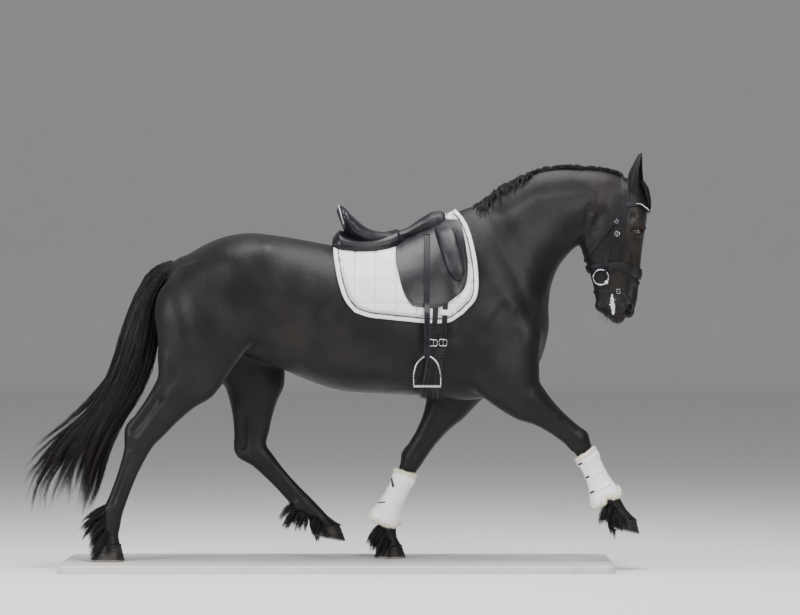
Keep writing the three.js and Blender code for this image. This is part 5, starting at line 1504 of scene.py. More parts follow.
dark_cord = twisted("pad_cord", (0.02, 0.02, 0.024), (0.06, 0.06, 0.065), 0.6, 70, 1500, 0.0005, 0.7)
grey_piping = twisted("pad_piping", (0.42, 0.42, 0.44), (0.58, 0.58, 0.60), 0.6, 40, 1500, 0.0004, 0.5)
mid_pad = (pad_under + pad_over) / 2
rim = rim_of(*mid_pad.shape[:2])
rim_path = mid_pad.reshape(-1, 3)[rim]
rim_ways = pad_ways.reshape(-1, 3)[rim]
run = np.roll(rim_path, -1, axis=0) - np.roll(rim_path, 1, axis=0)
inwards = unit(np.cross(run, rim_ways))
inwards *= np.sign(np.sum(inwards * (mid_pad.mean(axis=(0, 1)) - rim_path), axis=1).mean())
on_top = PAD_THICK / 2 - 0.6
for name, finish, reach, lift, profile in (
    ("pad_binding", tape, 6.5, 0, rounded(17, PAD_THICK + 2.4, 4, 20)),
    ("pad_cord", dark_cord, 18, on_top + 0.88, rounded(5.5, 4.4, 2.4, 14)),
    ("pad_piping", grey_piping, 29, on_top + 0.52, rounded(15, 2.6, 2.4, 14)),
):
    path = rim_path + inwards * reach + rim_ways * lift
    fit(swept(name, path, rim_ways, profile, ring=True), finish, "pad_cloth")


# Saddle: a dressage seat of black leather on a stiff tree, deep between a high cantle and the pommel, with
# flaps, padded panels under it, knee blocks in front, a light piping round the seat and a silver stud.
SEAT = np.array([
    section([-106, 1568], [-68, 1466], 70),
    section([-96, 1590], [-54, 1448], 128, 0, 0.5, 2.4, 2),
    section([-76, 1588], [-34, 1434], 156, 0, 0.5, 2.6, 2),
    section([-38, 1550], [-6, 1420], 166, 0, 0.45, 2.8, 2),
    section([30, 1494], [44, 1408], 152, 0, 0.4, 2.8, 2),
    section([120, 1474], [124, 1400], 120, 0, 0.4, 2.6, 2),
    section([200, 1488], [200, 1420], 86, 0, 0.4, 2.4, 2),
    section([275, 1536], [275, 1440], 72, 0, 0.4, 2.2, 2),
    section([335, 1566], [340, 1450], 70, 0, 0.4, 2.2, 2),
    section([385, 1556], [392, 1470], 56, 0, 0.4),
    section([402, 1536], [405, 1490], 30),
])
FLAP_TOP = [[172, 1440], [240, 1474], [330, 1500], [452, 1494]]
FLAP_REAR = [[172, 1440], [160, 1350], [180, 1250], [206, 1175], [236, 1136]]
FLAP_BOTTOM = [[236, 1136], [280, 1129], [330, 1126], [370, 1134], [400, 1152]]
FLAP_FRONT = [[452, 1494], [476, 1370], [482, 1272], [466, 1208], [400, 1152]]
# How low the panel reaches, as an angle on the torso's loft, by the share of its length
PANEL_EDGE = [[0, 0.40], [0.12, 0.47], [0.45, 0.47], [0.8, 0.44], [1, 0.36]]
KNEE_BLOCK = [
    ([392, 1512], [330, 1492], 8), ([422, 1476], [340, 1450], 20), ([444, 1400], [362, 1378], 28),
    ([468, 1312], [392, 1292], 26), ([467, 1282], [410, 1266], 18), ([455, 1258], [428, 1251], 8),
]
OVER_PAD = 18.6
FLAP_ROWS, FLAP_COLUMNS = 60, 56
PANEL_REAR, PANEL_FRONT = [-122, 1380], [200, 1380]
PANEL_TOP = 0.13
PANEL_ROWS, PANEL_COLUMNS = 22, 70


def leather_finish(name, gloss, shine, stitched):
    """Black leather: a fine grain over slow wrinkles, and stitches along both edges where it is sewn."""
    leather = Finish(name, (0.012, 0.0125, 0.015), roughness=gloss, specular_ior_level=shine)
    grain = leather.cells(620)
    wrinkles = leather.noise(34, 5, (1, 1, 1.6))
    wear = leather.noise(11, 4).between(0.45, 0.75)
    color = leather.mix(wear, (0.0065, 0.007, 0.009), (0.020, 0.020, 0.023))
    relief = leather.bump(grain, 0.0003, 0.4, leather.bump(wrinkles, 0.0016, 0.35))
    if stitched:
        away = leather.attribute("across").math("ABSOLUTE")
        line = away.between(0.72, 0.78) * (1 - away.between(0.80, 0.86))
        dash = (leather.attribute("along") * 1250).math("SINE").between(-0.2, 0.2)
        color = leather.mix(line * dash * 0.6, color, (0.10, 0.10, 0.105))
        relief = leather.bump(line * dash, 0.0005, 0.7, relief)
    return leather.feed(base_color=color, roughness=gloss + 0.22 * wear, normal=relief)


saddle_hide = leather_finish("saddle_hide", 0.33, 0.3, False)
strap_hide = leather_finish("strap_hide", 0.40, 0.16, True)
steel = Finish("bright_steel", (0.72, 0.73, 0.75), metallic=1.0, roughness=0.14)
rubbing = steel.noise(120, 5, (1, 1, 6))
steel.feed(
    base_color=steel.mix(steel.noise(30, 3), (0.40, 0.41, 0.44), (0.60, 0.61, 0.62)),
    roughness=0.1 + 0.2 * rubbing,
    normal=steel.bump(rubbing, 0.0002, 0.3),
)


def kept_off(points, out):
    """Points nearer to the hide than out are pushed straight off it to that distance."""
    short = np.maximum(0, out - distance(points))
    return points + outward(points) * short[..., None]


def pushed_off(piece, out):
    """A piece whose points are kept off the hide."""
    move_to(piece, kept_off(in_millimetres(piece), out))
    return piece


u = np.linspace(0, len(SEAT) - 1, 110)[:, None]
turn = np.linspace(-np.pi, np.pi, 97)[None, :-1]
welt = np.exp(-(((np.abs(turn) - 0.95) / 0.05) ** 2)) * np.interp(u, [1, 2.5, 8, 9], [0, 1, 1, 0])
skirt = np.exp(-(((np.abs(turn) - 1.45) / 0.12) ** 2)) * np.exp(-(((u - 6.6) / 1.1) ** 2))
waist = np.exp(-((turn / 0.30) ** 2)) * np.exp(-(((u - 4.6) / 1.5) ** 2))
groove = np.exp(-(((np.abs(turn) - 1.03) / 0.04) ** 2))
rings = on_loft(SEAT, u, turn, 1.6 * welt - 2.2 * groove + 2 * skirt - 2 * waist)
seat = pushed_off(piece_of("saddle_seat", closed_tube(rings)), 19.2)
fit(seat, saddle_hide, "saddle_leather", "saddle_seat")

# A light piping runs round the rim of the cantle and over the edge of the pommel
piping = twisted("seat_piping", (0.42, 0.42, 0.45), (0.62, 0.62, 0.64), 0.35, 60, 1400, 0.0004, 0.5)
for name, station, reach in (("cantle", 1.05, 1.75), ("pommel", 9.0, 1.5)):
    around = np.linspace(-reach, reach, 70)
    path = kept_off(on_loft(SEAT, station, around, 1.2), 21)
    cord = swept(f"piping_{name}", path, normal_on(SEAT, station, around), rounded(5.4, 5.4, 2, 12))
    fit(cord, piping, "saddle_leather")
for side, sign in SIDES:
    centre = on_loft(SEAT, 9.05, sign * 1.15, 2.0)
    fit(piece_of(f"stud_{side}", ball(centre, [6.5, 4.5, 6.5], 24, 13)), steel, "polished_steel")

    flap_edges = [edge_on(TORSO, line, sign) for line in (FLAP_TOP, FLAP_BOTTOM, FLAP_REAR, FLAP_FRONT)]
    flap_edges[1][0], flap_edges[1][-1] = flap_edges[2][-1], flap_edges[3][-1]
    flap_edges[0][0], flap_edges[0][-1] = flap_edges[2][0], flap_edges[3][0]
    flap = four_sided(*flap_edges, FLAP_ROWS, FLAP_COLUMNS)
    under = resting(TORSO, flap[..., 0], flap[..., 1], OVER_PAD, 30)
    ways = outward(under)
    r = np.linspace(0, 1, FLAP_ROWS)[:, None]
    s = np.linspace(0, 1, FLAP_COLUMNS)[None, :]
    rim = np.minimum(np.minimum(s, 1 - s) * 5.5, (1 - r) * 6.0)
    groove = 1.0 * np.exp(-(((rim - 0.22) / 0.09) ** 2))
    rise = 4.6 + 1.6 * np.clip(rim * 3, 0, 1) - groove
    piece = slab(f"saddle_flap_{side}", under, under + ways * rise[..., None], 1.6)
    fit(piece, saddle_hide, "saddle_leather", f"saddle_flap_{side}")

    r = np.linspace(0, 1, PANEL_ROWS)[:, None]
    s = np.linspace(0, 1, PANEL_COLUMNS)[None, :]
    station = found_on(TORSO, np.linspace(PANEL_REAR, PANEL_FRONT, PANEL_COLUMNS))[0]
    angle = sign * (PANEL_TOP + (np.interp(s, *np.transpose(PANEL_EDGE)) - PANEL_TOP) * r)
    station = np.broadcast_to(station, angle.shape)
    under = resting(TORSO, station, angle, OVER_PAD, 30)
    ways = normal_on(TORSO, station, angle)
    round_edge = np.sqrt(np.clip(1 - np.clip((r - 0.45) / 0.55, 0, 1) ** 2.4, 0.02, 1))
    round_ends = np.clip(np.minimum(s, 1 - s) * 12, 0.1, 1) ** 0.5
    crown = round_edge * round_ends * (42 + 12 * np.exp(-((s / 0.22) ** 2)))
    over = under + ways * (3 + crown)[..., None]
    piece = slab(f"saddle_panel_{side}", under, over, 2.5)
    fit(piece, saddle_hide, "saddle_leather", f"saddle_panel_{side}")

    block = []
    for a, b, w in KNEE_BLOCK:
        guess = np.array([(a[0] + b[0]) / 2 - 10, sign * 330.0, (a[1] + b[1]) / 2])
        y = laid(guess[None], np.array([[0, sign * 1.0, 0]]), 25.5)[0, 1]
        block.append(section(a, b, w, y, 0.45, 2.6, 2.2))
    block = pushed_off(piece_of(f"knee_block_{side}", loft(np.array(block), 12, 40)), 24.6)
    fit(block, saddle_hide, "saddle_leather", f"knee_block_{side}")


# Girth and billets: a padded black leather girth under the chest with a stitched strip down its middle,
# closed on each side with two billets and steel roller buckles, held by a white loop on the pad.
def over_and_round(rows, line, out, count, stray):
    """A strap's path: up the right side along a side-view line, over the loft's edge and down the left.
    A point that has to stray further than that to leave the hide stays on the loft, as under a leg."""
    at = edge_on(rows, line, -1, count // 2)
    u, t = np.concatenate([at, at[::-1][1:] * [1, -1]]).T
    path = resting(rows, u, t, out, out + 10)
    strayed = np.linalg.norm(path - on_loft(rows, u, t, out + 10), axis=1) > stray
    path[strayed] = on_loft(rows, u, t, out)[strayed]
    return kept_off(softened(path, 6), out)


def bar_loop(name, middle, along, up, length, width, wire):
    """A buckle frame: a wire bent round a rectangle with round corners, and its tongue across it."""
    along = unit(along)
    side = unit(np.cross(along, up))
    up = np.cross(side, along)
    turn = np.linspace(0, 2 * np.pi, 41)[:-1]
    c, s = np.cos(turn), np.sin(turn)
    a = np.sign(c) * np.abs(c) ** 0.35 * length / 2
    b = np.sign(s) * np.abs(s) ** 0.35 * width / 2
    path = middle + a[:, None] * along + b[:, None] * side
    fit(swept(name, path, up, rounded(wire, wire, 2, 10), ring=True), steel, "polished_steel")
    path = np.linspace(-0.5, 0.52, 8)[:, None] * length * along + middle + up * wire * 0.75
    thin = wire * 0.8
    fit(swept(f"{name}_tongue", path, up, rounded(thin, thin, 2, 8)), steel, "polished_steel")


GIRTH_LINE = [[355, 1063], [332, 880], [312, 760], [307, 690]]
girth_path = over_and_round(TORSO, GIRTH_LINE, 7.0, 170, 26)
ups = outward(girth_path)
girth = swept("girth", girth_path, ups, rounded(86, 12.4, 5, 36))
fit(girth, strap_hide, "saddle_leather", "girth")
strip = swept("girth_strip", girth_path + ups * 6.2, ups, rounded(40, 3.4, 5, 20))
fit(strip, strap_hide, "saddle_leather")
for side, sign in SIDES:
    for number, x in enumerate((334.0, 377.0)):
        line = np.array([[x + 8, 1150.0], [x + 5, 1080.0], [x - 1, 1000.0], [x - 8, 915.0]])
        out = np.interp(curved(line, 26)[:, 1], [915, 1052, 1078, 1150], [14.5, 14.5, 20.0, 20.6])
        path = resting(TORSO, *edge_on(TORSO, line, sign, 26).T, out, 36)
        ups = outward(path)
        billet = swept(f"billet_{number}_{side}", path, ups, rounded(25, 4.2, 5, 18))
        nodes = [f"billet_{side}"] if number else []
        fit(billet, strap_hide, "saddle_leather", *nodes)
        middle = path[17] + ups[17] * 3.6
        bar_loop(f"girth_buckle_{number}_{side}", middle, path[18] - path[16], ups[17], 28, 36, 4.6)
        keeper = swept(f"girth_keeper_{number}_{side}", path[22:24], ups[22:24], rounded(31, 10, 6, 20))
        fit(keeper, strap_hide, "saddle_leather")
    line = np.array([[362.0, 1108.0], [386, 1107], [410, 1106.0]])
    path = resting(TORSO, *edge_on(TORSO, line, sign, 20).T, 23.4, 40)
    loop = swept(f"pad_loop_{side}", path, outward(path), rounded(24, 4, 5, 16))
    fit(loop, tape, "pad_cloth")


# Stirrups: a leather from under each flap, doubled round the eye of a polished steel iron, whose tread has
# a ribbed black rubber pad.
STIRRUP_X = 300.0
STRAND_TOP, STRAND_LOW = 1462, 930
EYE_Z = 918.6
HANGING_Y = 329.0
HALF_ARCH = [[14, -3], [43, -29], [59, -80], [60, -110], [59, -128]]
TREAD_PAD = 6.0
rubber = Finish("tread_rubber", (0.025, 0.025, 0.027), roughness=0.8)
rubber.feed(
    base_color=rubber.mix(rubber.noise(80, 4), (0.018, 0.018, 0.02), (0.05, 0.048, 0.047)),
    normal=rubber.bump((rubber.axis(0) * 1300).math("SINE"), 0.0012, 0.9),
)
for side, sign in SIDES:
    sideways = np.array([0, sign * 1.0, 0])
    z = np.linspace(STRAND_TOP, STRAND_LOW, 60)
    guess = np.stack([np.full_like(z, STIRRUP_X), np.full_like(z, sign * 400), z], -1)
    lying = laid(guess, sideways, 27.6)[:, 1] * sign
    near = softened(np.where(z < 1120, HANGING_Y, np.minimum(lying, HANGING_Y)), 8)
    inner = np.stack([np.full_like(z, STIRRUP_X), sign * (near + 1.8), z], -1)
    outer_strand = inner + sideways * 3.6
    middle = (inner[-1, 1] + outer_strand[-1, 1]) / 2
    bend = np.linspace(0, np.pi, 15)[1:-1]
    spread_out = np.interp(z, [STRAND_LOW, STRAND_LOW + 45], [3.6, 0])
    inner[:, 1] -= sign * spread_out
    outer_strand[:, 1] += sign * spread_out
    half = abs(outer_strand[-1, 1] - inner[-1, 1]) / 2
    low = EYE_Z + 1.0 - (half + 0.4) * np.sin(bend)
    turn_round = np.stack([np.full_like(low, STIRRUP_X), middle - sign * half * np.cos(bend), low], -1)
    path = np.concatenate([inner, turn_round, outer_strand[::-1]])
    run = np.gradient(path, axis=0)
    ups = unit(np.stack([np.zeros(len(path)), run[:, 2], -run[:, 1]], -1) * sign)
    leather = swept(f"stirrup_leather_{side}", path, ups, rounded(26, 3.3, 5, 16))
    fit(leather, strap_hide, "saddle_leather", f"stirrup_leather_{side}")

    x, z = curved([[-x, z] for x, z in HALF_ARCH[::-1]] + HALF_ARCH, 90).T
    path = np.stack([STIRRUP_X + x, np.full_like(x, middle), EYE_Z + z], -1)
    s = np.linspace(-1, 1, 90)
    outer_way = np.stack([s, 0 * s, 1.2 - np.abs(s)], -1)
    wide = np.interp(np.abs(s), [0, 0.35, 0.8, 1], [8.5, 9, 13, 20])
    profile = rounded(1, 1, 2.6, 16)[None] * np.stack([wide, np.full_like(s, 7.6)], -1)[:, None]
    iron = swept(f"stirrup_iron_{side}", path, outer_way, profile)
    fit(iron, steel, "polished_steel", f"stirrup_iron_{side}")
    path = np.linspace([-60, 0, 0], [60, 0, 0], 40) + [STIRRUP_X, middle, EYE_Z - 133.5]
    fit(swept(f"stirrup_tread_{side}", path, UP, rounded(41, 8.5, 4, 28)), steel, "polished_steel")
    x = np.linspace(-50, 50, 100)
    path = np.stack([STIRRUP_X + x, np.full_like(x, middle), np.full_like(x, EYE_Z - 128)], -1)
    ridge = TREAD_PAD * (1 + 0.12 * np.sign(np.sin(x * 1.1)))
    profile = rounded(1, 1, 4, 24)[None] * np.stack([np.full_like(x, 36), ridge], -1)[:, None]
    fit(swept(f"stirrup_pad_{side}", path, UP, profile), rubber, "saddle_leather")


# Bridle: black leather straps of five millimetres round the head, each laid on the hide and closed with
# small steel buckles; the noseband is padded, and the browband carries a bright line.
def head_strap(name, line, width, thick, out, sign, *nodes):
    """A flat strap along a side-view line on one side of the head; returns its path and ways outwards."""
    path = resting(HEAD, *edge_on(HEAD, line, sign, 70).T, out, out + 14)
    path = kept_off(softened(path, 4), out)
    ups = outward(path)
    fit(swept(name, path, ups, rounded(width, thick, 5, 16)), strap_hide, "bridle_leather", *nodes)
    return path, ups


def buckled(name, path, ups, share, width):
    """A small buckle on a strap at a share of its length, with its tongue and a leather keeper behind."""
    i = int(share * (len(path) - 1))
    along = unit(path[i + 1] - path[i - 1])
    bar_loop(name, path[i] + ups[i] * 3.6, along, ups[i], width * 1.1, width * 1.3, 2.2)
    ends = path[i] + along * np.array([[14.0], [21.0]]) + ups[i] * 1.2
    keeper = swept(f"{name}_keeper", ends, ups[i], rounded(width * 1.22, 8.4, 6, 16))
    fit(keeper, strap_hide, "bridle_leather")


def round_head(line, out):
    """The path of a closed band round the head through a side-view line, and its ways outwards."""
    at = edge_on(HEAD, line, -1, 120)
    u, t = np.concatenate([at, at[::-1][1:-1] * [1, -1]]).T
    path = kept_off(softened(resting(HEAD, u, t, out, out + 10), 10, ring=True), out)
    return path, outward(path)


# The padded noseband is 37 mm deep at the sides and grows to 48 mm over the nose
NOSE_LINE = [
    [990, 1307], [1060, 1311], [1121, 1316], [1156, 1320], [1203, 1301], [1262, 1274], [1310, 1256],
]
path, ups = round_head(NOSE_LINE, 5.6)
deep = 1 + 0.3 * np.clip((path[:, 0] - 1190) / 60, 0, 1)
profile = rounded(37, 10.5, 3.2, 24) * np.stack([deep, np.ones(len(path))], -1)[:, None]
nose_band = swept("noseband", path, ups, profile, ring=True)
fit(nose_band, strap_hide, "bridle_leather", "noseband")
nose_strip = swept("noseband_strip", path + ups * 4.9, ups, rounded(19, 2.8, 4, 14), ring=True)
fit(nose_strip, strap_hide, "bridle_leather")
FLASH_LINE = [
    [1005, 1204], [1060, 1206], [1100, 1207], [1165, 1207], [1212, 1225], [1260, 1240], [1310, 1250],
]
FLASH_BUCKLE = [1158, -70, 1208]
path, ups = round_head(FLASH_LINE, 2.6)
flash_strap = swept("flash_strap", path, ups, rounded(15, 4.4, 5, 14), ring=True)
fit(flash_strap, strap_hide, "bridle_leather", "flash_strap")
i = int(np.argmin(np.linalg.norm(path - FLASH_BUCKLE, axis=1)))
bar_loop("flash_buckle", path[i] + ups[i] * 3.2, path[i + 1] - path[i - 1], ups[i], 16.5, 19, 2.2)

# The headpiece lies behind the ears; its ends take the cheekpieces, the hanger and the throatlatch
POLL = np.array([1188.0, 0, 1628])
HEADPIECE_OUT = 3.4
poll = np.linspace(-1, 1, 121)
half_turn = np.abs(poll) * np.pi * 0.64
ways = unit(np.stack([0.02 + 0 * half_turn, np.sign(poll) * np.sin(half_turn), np.cos(half_turn)], -1))
path = kept_off(softened(laid(POLL + ways * 120, ways, HEADPIECE_OUT), 6), HEADPIECE_OUT)
ups = outward(path)
fit(swept("headpiece", path, ups, rounded(30, 5.6, 5, 22)), strap_hide, "bridle_leather", "headpiece")
pad = swept("headpiece_pad", path[8:-8], ups[8:-8], rounded(37, 3.0, 3, 22))
fit(pad, strap_hide, "bridle_leather")

# The browband: leather with a bright beaded line along its middle, from ear to ear over the forehead
BROW_LINE = [[1186, 1594], [1220, 1597], [1252, 1594], [1274, 1577], [1292, 1556], [1330, 1524]]
at = edge_on(HEAD, BROW_LINE, -1, 60)
u, t = np.concatenate([at, at[::-1][1:] * [1, -1]]).T
path = kept_off(softened(resting(HEAD, u, t, 6.4, 24), 14), 6.2)
ups = outward(path)
fit(swept("browband", path, ups, rounded(19, 5, 4, 18)), strap_hide, "bridle_leather", "browband")


def balls_at(name, centres, sizes, one):
    """One mesh of many small balls: each is its centre + its size times the points of the one ball."""
    points, quads, fans = one
    many = (centres[:, None] + points[None] * sizes).reshape(-1, 3)
    shift = (np.arange(len(centres)) * len(points))[:, None, None]
    faces = [(part[None] + shift).reshape(-1, part.shape[1]) for part in (quads, fans)]
    return mesh_object(name, place(many), faces)


run = np.concatenate([[0], np.cumsum(np.linalg.norm(np.diff(path, axis=0), axis=1))])
shown = run[path[:, 0] > 1238]
beads = np.arange(shown[0], shown[-1], 4.6)
centres = np.stack([np.interp(beads, run, line) for line in (path + ups * 3.6).T], -1)
bright = Finish("brow_beads", (0.8, 0.76, 0.66), metallic=0.85, roughness=0.12)
sparkle = bright.noise(500, 2)
bright.feed(
    base_color=bright.mix(sparkle, (0.82, 0.74, 0.58), (0.88, 0.88, 0.86)),
    roughness=0.08 + 0.2 * sparkle,
    normal=bright.bump(sparkle, 0.0003, 0.4),
)
fit(balls_at("browband_beads", centres, 2.3, ball([0, 0, 0], [1, 1, 1], 10, 7)), bright, "polished_steel")

# On each side: the cheekpiece to the loose ring of the bit, the hanger of the noseband, the throatlatch
CHEEK_LINE = [
    [1196, 1606], [1189, 1578], [1176, 1540], [1167, 1504], [1144, 1443], [1116, 1371], [1104, 1312],
    [1099, 1292],
]
HANGER_LINE = [[1188, 1600], [1187, 1562], [1182, 1500], [1177, 1430], [1167, 1340], [1164, 1326]]
THROAT_LINE = [
    [1186, 1600], [1176, 1560], [1160, 1530], [1132, 1504], [1091, 1446], [1053, 1402], [1012, 1346],
    [996, 1322],
]
RING_RADIUS = 34
LOOP_AT = 0.95
for side, sign in SIDES:
    sideways = np.array([0, sign * 1.0, 0])
    out = 3.2 + 8.6 * np.exp(-(((curved(CHEEK_LINE, 80)[:, 1] - 1316) / 26) ** 2))
    path = resting(HEAD, *edge_on(HEAD, CHEEK_LINE, sign, 80).T, out, 22)
    ups = outward(path)
    cheek = swept(f"cheekpiece_{side}", path, ups, rounded(15.5, 4.6, 5, 16))
    fit(cheek, strap_hide, "bridle_leather", f"cheekpiece_{side}")
    buckled(f"cheek_buckle_{side}", path, ups, 0.44, 15.5)
    ring_at = np.array([1080.0, sign * 76.0, 1269.0])
    turn = np.linspace(0, 2 * np.pi, 73)[:-1]
    circle = np.stack([np.cos(turn), 0.0 * turn, np.sin(turn)], -1)
    path = ring_at + RING_RADIUS * circle
    ring = swept(f"bit_ring_{side}", path, circle, rounded(5.6, 5.6, 2, 16), ring=True)
    fit(ring, steel, "polished_steel", f"bit_ring_{side}")
    off_ring = np.array([np.cos(LOOP_AT), 0, np.sin(LOOP_AT)])
    turn = np.linspace(-np.pi, np.pi, 33)[:-1, None]
    ups = np.cos(turn) * off_ring + np.sin(turn) * sideways
    path = ring_at + (RING_RADIUS + 1.5) * off_ring + 6.2 * ups
    loop = swept(f"bit_loop_{side}", path, ups, rounded(15.5, 3.6, 5, 14), ring=True)
    fit(loop, strap_hide, "bridle_leather")
    s = np.linspace(0, 1, 24)
    barrel = np.linspace([1112.0, sign * 30.0, 1244], [1104.0, sign * 80.0, 1247], 24)
    wide = np.interp(s, [0, 0.7, 0.86, 0.9, 1], [13, 17, 20, 22, 15])
    mouth = swept(f"bit_barrel_{side}", barrel, UP, rounded(1, 1, 2, 18)[None] * wide[:, None, None])
    fit(mouth, steel, "polished_steel", f"bit_barrel_{side}")

    hanger = f"noseband_hanger_{side}"
    head_strap(hanger, HANGER_LINE, 10, 4, 3.0, sign, hanger)
    nodes = ["throatlatch"] if sign < 0 else []
    path, ups = head_strap(f"throatlatch_{side}", THROAT_LINE, 12, 4, 4.4, sign, *nodes)
    buckled(f"throat_buckle_{side}", path, ups, 0.31, 12)

# Lather from the bit: small white bubbles that lie along the line of the lips
froth = Finish("lather", (0.78, 0.78, 0.76), roughness=0.25, subsurface_weight=0.3, subsurface_scale=0.002)
froth.feed(
    base_color=froth.mix(froth.noise(200), (0.70, 0.70, 0.68), (0.84, 0.84, 0.83)),
    normal=froth.bump(froth.noise(900, 2), 0.0004, 0.5),
)
BUBBLES = 240
for side, sign in SIDES:
    s = draw.beta(1.3, 1.1, BUBBLES)
    x = 1131 + 5 * s + draw.normal(0, 1, BUBBLES) * (2.2 + 3.2 * np.sin(np.pi * s))
    start = np.stack([x, np.full(BUBBLES, sign * 90.0), 1194 - 92 * s], -1)
    centres = laid(start, np.array([0, sign * 1.0, 0]), 0.2 + draw.random(BUBBLES) * 1.2)
    centres = centres[np.abs(distance(centres)) < 4]
    sizes = draw.uniform(0.9, 3.0, len(centres))[:, None, None]
    lather = balls_at(f"lather_{side}", centres, sizes, ball([0, 0, 0], [1, 1, 0.9], 8, 5))
    fit(lather, froth, "eye")


# Short coat: fine tufts where the coat breaks the outline, under the jaw and chin, down the throat and
# chest, along the belly, behind the elbows and down the backs of the legs, and a fringe over each hoof.
# Each row: form, stations, middle angle, spread of angles, count, length, lift, how far it hangs down
SHORT = [
    ("head", (3, 10.5), 3.14, 0.5, 1700, 6, 0.35, 0.2),
    ("head", (10.5, 12.9), 2.8, 0.9, 800, 8, 0.6, 0.3),
    ("head", (2, 12), 1.6, 1.6, 2600, 3.2, 0.14, 0.2),
    ("neck", (0.5, 9), 3.14, 0.5, 1900, 8, 0.3, 0.4),
    ("neck", (0.5, 9), 1.6, 1.4, 3200, 5.5, 0.12, 0.4),
    ("torso", (1, 15), 3.14, 0.45, 5200, 9, 0.3, 0.5),
    ("torso", (0.5, 15.5), 1.9, 1.2, 6500, 6, 0.12, 0.4),
    ("torso", (0.5, 15.5), 0.2, 0.4, 3000, 5, 0.12, 0.1),
]
# The legs' rows are the same for each leg, and LAST is the station of the coronet
LAST = np.inf
LEG_SHORT = [
    ((0.6, 5), 3.14, 0.9, 800, 8, 0.28, 0.6), ((4.5, 11), 3.14, 0.8, 800, 8, 0.35, 0.7),
    ((0.6, 13), 1.6, 1.5, 1200, 5, 0.14, 0.6), ((LAST, LAST), 0, 3.14, 1450, 34, 0.62, 0.7),
]
FORMS_OF = {"torso": TORSO, "neck": NECK, "head": HEAD, **{name: leg["rows"] for name, leg in LEGS.items()}}
short = list(SHORT)
for form in LEGS:
    for (first, last), *row in LEG_SHORT:
        end = len(LEGS[form]["rows"]) - 1
        short.append((form, (min(first, end - 0.35), min(last, end)), *row))
ROOT_DEPTH = 0.6
BOOT_TOP, BOOT_BOTTOM = 0.17, 1.0
gathered = {"short_coat_head": [], "short_coat_body": [], "short_coat_under": [], "short_coat_legs": []}
for form, (first, last), middle, spread_by, count, length, lift, hang in short:
    rows = FORMS_OF[form]
    last = min(last, len(rows) - 1)
    u = draw.uniform(first, last, count)
    side = np.sign(draw.random(count) - 0.5)
    t = side * (middle + draw.uniform(-1, 1, count) * spread_by)
    root = resting(rows, u, t, -ROOT_DEPTH, 8)
    ways = outward(root)
    down = on_loft(rows, np.minimum(u + 0.3, len(rows) - 1), t) - on_loft(rows, np.maximum(u - 0.3, 0), t)
    if form == "torso":
        down = np.where(down[:, :1] > 0, -down, down)
    down = unit(down) - UP * hang
    down = unit(down - ways * np.sum(down * ways, axis=1, keepdims=True))
    down += np.cross(ways, down) * draw.normal(0, 0.22, (count, 1))
    s = np.linspace(0, 1, 3)[None, :, None]
    reach = length * draw.uniform(0.6, 1.15, (count, 1, 1))
    paths = root[:, None] + reach * (down[:, None] * s + ways[:, None] * lift * (s - 0.35 * s * s))
    kept = np.abs(distance(root) + ROOT_DEPTH) < 3
    if form.startswith("front"):
        knee, fetlock = (np.array(joint, float)[[0, 2, 1]] for joint in LEGS[form]["joints"][1:3])
        along = (root - knee) @ (fetlock - knee) / np.sum((fetlock - knee) ** 2)
        kept &= (along < BOOT_TOP) | (along > BOOT_BOTTOM)
    piece = "short_coat_legs" if form in LEGS else "short_coat_head"
    if form == "torso":
        piece = "short_coat_under" if middle > 3 else "short_coat_body"
        under_pad = (root[:, 0] > -115) & (root[:, 0] < 520) & (root[:, 2] > 1060)
        kept &= ~under_pad & ~((np.abs(root[:, 0] - 320) < 65) & (root[:, 2] > 690))
    places = unwrapped(form, u / (len(rows) - 1), t)
    gathered[piece].append((paths[kept], ways[kept], places[kept], draw.random(kept.sum())))
for name, many in gathered.items():
    paths, ways, places, shade = (np.concatenate(part) for part in zip(*many))
    wide = 0.9 if name == "short_coat_head" else 1.3
    piece = hairs_object(name, paths, ways, np.full(len(paths), wide), places, shade, 0.5)
    fit(piece, hair, "coat")

# Whiskers stand out from the chin, the lips and under the eyes
WHISKERS = 90
u = draw.uniform(10.6, 12.9, WHISKERS)
t = np.sign(draw.random(WHISKERS) - 0.5) * draw.uniform(1.2, 3.1, WHISKERS)
root = resting(HEAD, u, t, -1, 8)
ways = outward(root)
s = np.linspace(0, 1, 7)[None, :, None]
reach = draw.uniform(14, 34, (WHISKERS, 1, 1))
paths = root[:, None] + reach * (ways[:, None] * s + np.array([0.1, 0, -0.45]) * s * s)
places = unwrapped("head", u / (len(HEAD) - 1), t)
aside = draw.normal(size=(WHISKERS, 3))
widths = np.full(WHISKERS, 0.55)
whiskers = hairs_object("whiskers", paths, aside, widths, places, draw.random(WHISKERS), 1)
fit(whiskers, hair, "long_hair")

# Base: a low board with round corners and a worked edge, painted in pale satin paint, on which the two
# standing hooves rest.
BASE_FRONT, BASE_HALF, BASE_CORNER = 1130.0, 410.0, 60.0
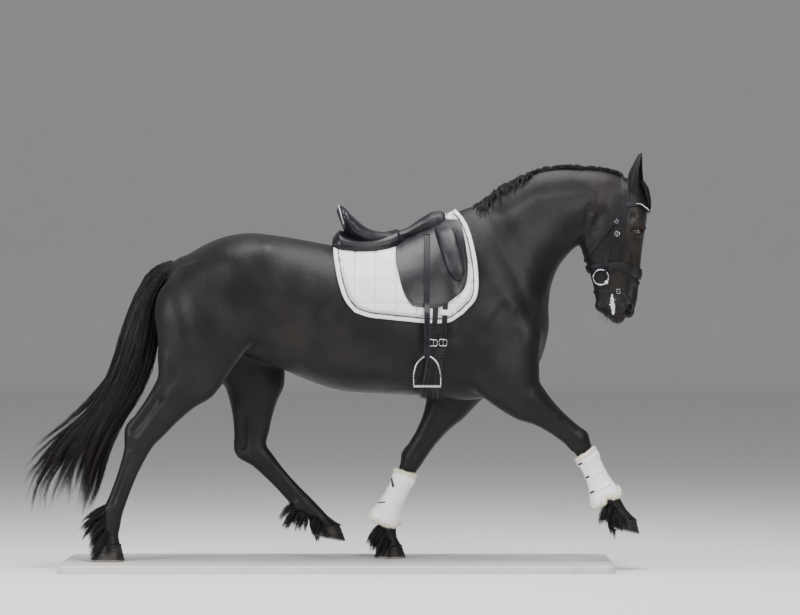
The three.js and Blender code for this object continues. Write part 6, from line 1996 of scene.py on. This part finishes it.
# The board's edge from the underside to the top: how far it is drawn in, and its height
BASE_EDGE = [
    (3, -36), (0.6, -35), (0, -33), (0, -9), (0.8, -7.4),
    (2.6, -6.6), (3.0, -4), (4.2, -1.6), (7, -0.5), (30, -0.35),
]
turn = np.linspace(0, 2 * np.pi, 97)[:-1]
quarter = np.floor(turn / (np.pi / 2))
centre_x = np.where((quarter == 0) | (quarter == 3), BASE_FRONT - BASE_CORNER, BASE_REAR + BASE_CORNER)
centre_y = np.where(quarter < 2, BASE_HALF - BASE_CORNER, -BASE_HALF + BASE_CORNER)
rings = []
for inset, z in BASE_EDGE:
    x = centre_x + (BASE_CORNER - inset) * np.cos(turn)
    y = centre_y + (BASE_CORNER - inset) * np.sin(turn)
    rings.append(np.stack([x, y, np.full(96, z - 0.3)], -1))
base = turned_out(piece_of("stand_board", closed_tube(np.array(rings))))
flat = base.modifiers.new("flat", "WEIGHTED_NORMAL")
flat.keep_sharp = True
board_paint = Finish("board_paint", (0.60, 0.585, 0.56), roughness=0.5, specular_ior_level=0.35)
brushed = board_paint.noise(40, 4, (0.12, 1, 1))
marks = board_paint.noise(7, 6).between(0.55, 0.8)
board_pale = board_paint.mix(brushed, (0.62, 0.605, 0.58), (0.57, 0.555, 0.53))
board_paint.feed(
    base_color=board_paint.mix(marks, board_pale, (0.46, 0.44, 0.41)),
    roughness=0.42 + 0.2 * brushed + 0.2 * marks,
    normal=board_paint.bump(brushed, 0.0004, 0.35),
)
fit(base, board_paint, "base_board", "stand_base")

# Floor and light: a pale sweep of floor and wall, and big soft lamps over and before the horse.
FLOOR_REACH = 48.0
WALL_BACK = 34.0
turn = np.linspace(0, np.pi / 2, 24)
run = np.concatenate([
    [[-40.0, 0.0]],
    np.stack([WALL_BACK + 2.0 * np.sin(turn), 2.0 - 2.0 * np.cos(turn)], -1),
    [[WALL_BACK + 2.0, 30.0]],
])
across = np.linspace(-FLOOR_REACH, FLOOR_REACH, 9)
sweep = np.stack(np.broadcast_arrays(across[None, :], run[:, :1], run[:, 1:]), -1)
floor = mesh_object("floor", sweep.reshape(-1, 3), grid_faces(len(run), len(across), closed=False)[:, ::-1])
floor_paint = Finish("floor_paint", (0.8, 0.79, 0.775), roughness=0.85)
floor_grain = floor_paint.noise(3, 5)
floor_paint.feed(base_color=floor_paint.mix(floor_grain, (0.79, 0.78, 0.765), (0.82, 0.81, 0.795)))
floor.data.materials.append(floor_paint.material)

world = bpy.data.worlds.new("studio")
bpy.context.scene.world = world
world.use_nodes = True
world.node_tree.nodes["Background"].inputs[0].default_value = (0.92, 0.94, 1.0, 1)
world.node_tree.nodes["Background"].inputs[1].default_value = 0.35


def lamp(name, at, aim, size, power, color=(1, 1, 1)):
    """A soft square lamp at a point, turned to face another."""
    light = bpy.data.lights.new(name, "AREA")
    light.size = size
    light.energy = power
    light.color = color
    made = bpy.data.objects.new(name, light)
    bpy.context.scene.collection.objects.link(made)
    made.location = at
    made.rotation_euler = (Vector(aim) - Vector(at)).to_track_quat("-Z", "Y").to_euler()


lamp("over", (0.3, -0.6, 5.2), (0, 0, 1.0), 3.2, 375)
lamp("front", (2.6, -5.5, 3.6), (0.2, 0, 1.1), 2.8, 270, (1.0, 0.98, 0.95))
lamp("rear", (-4.2, -3.4, 2.6), (-0.5, 0, 1.1), 2.4, 230, (0.94, 0.97, 1.0))
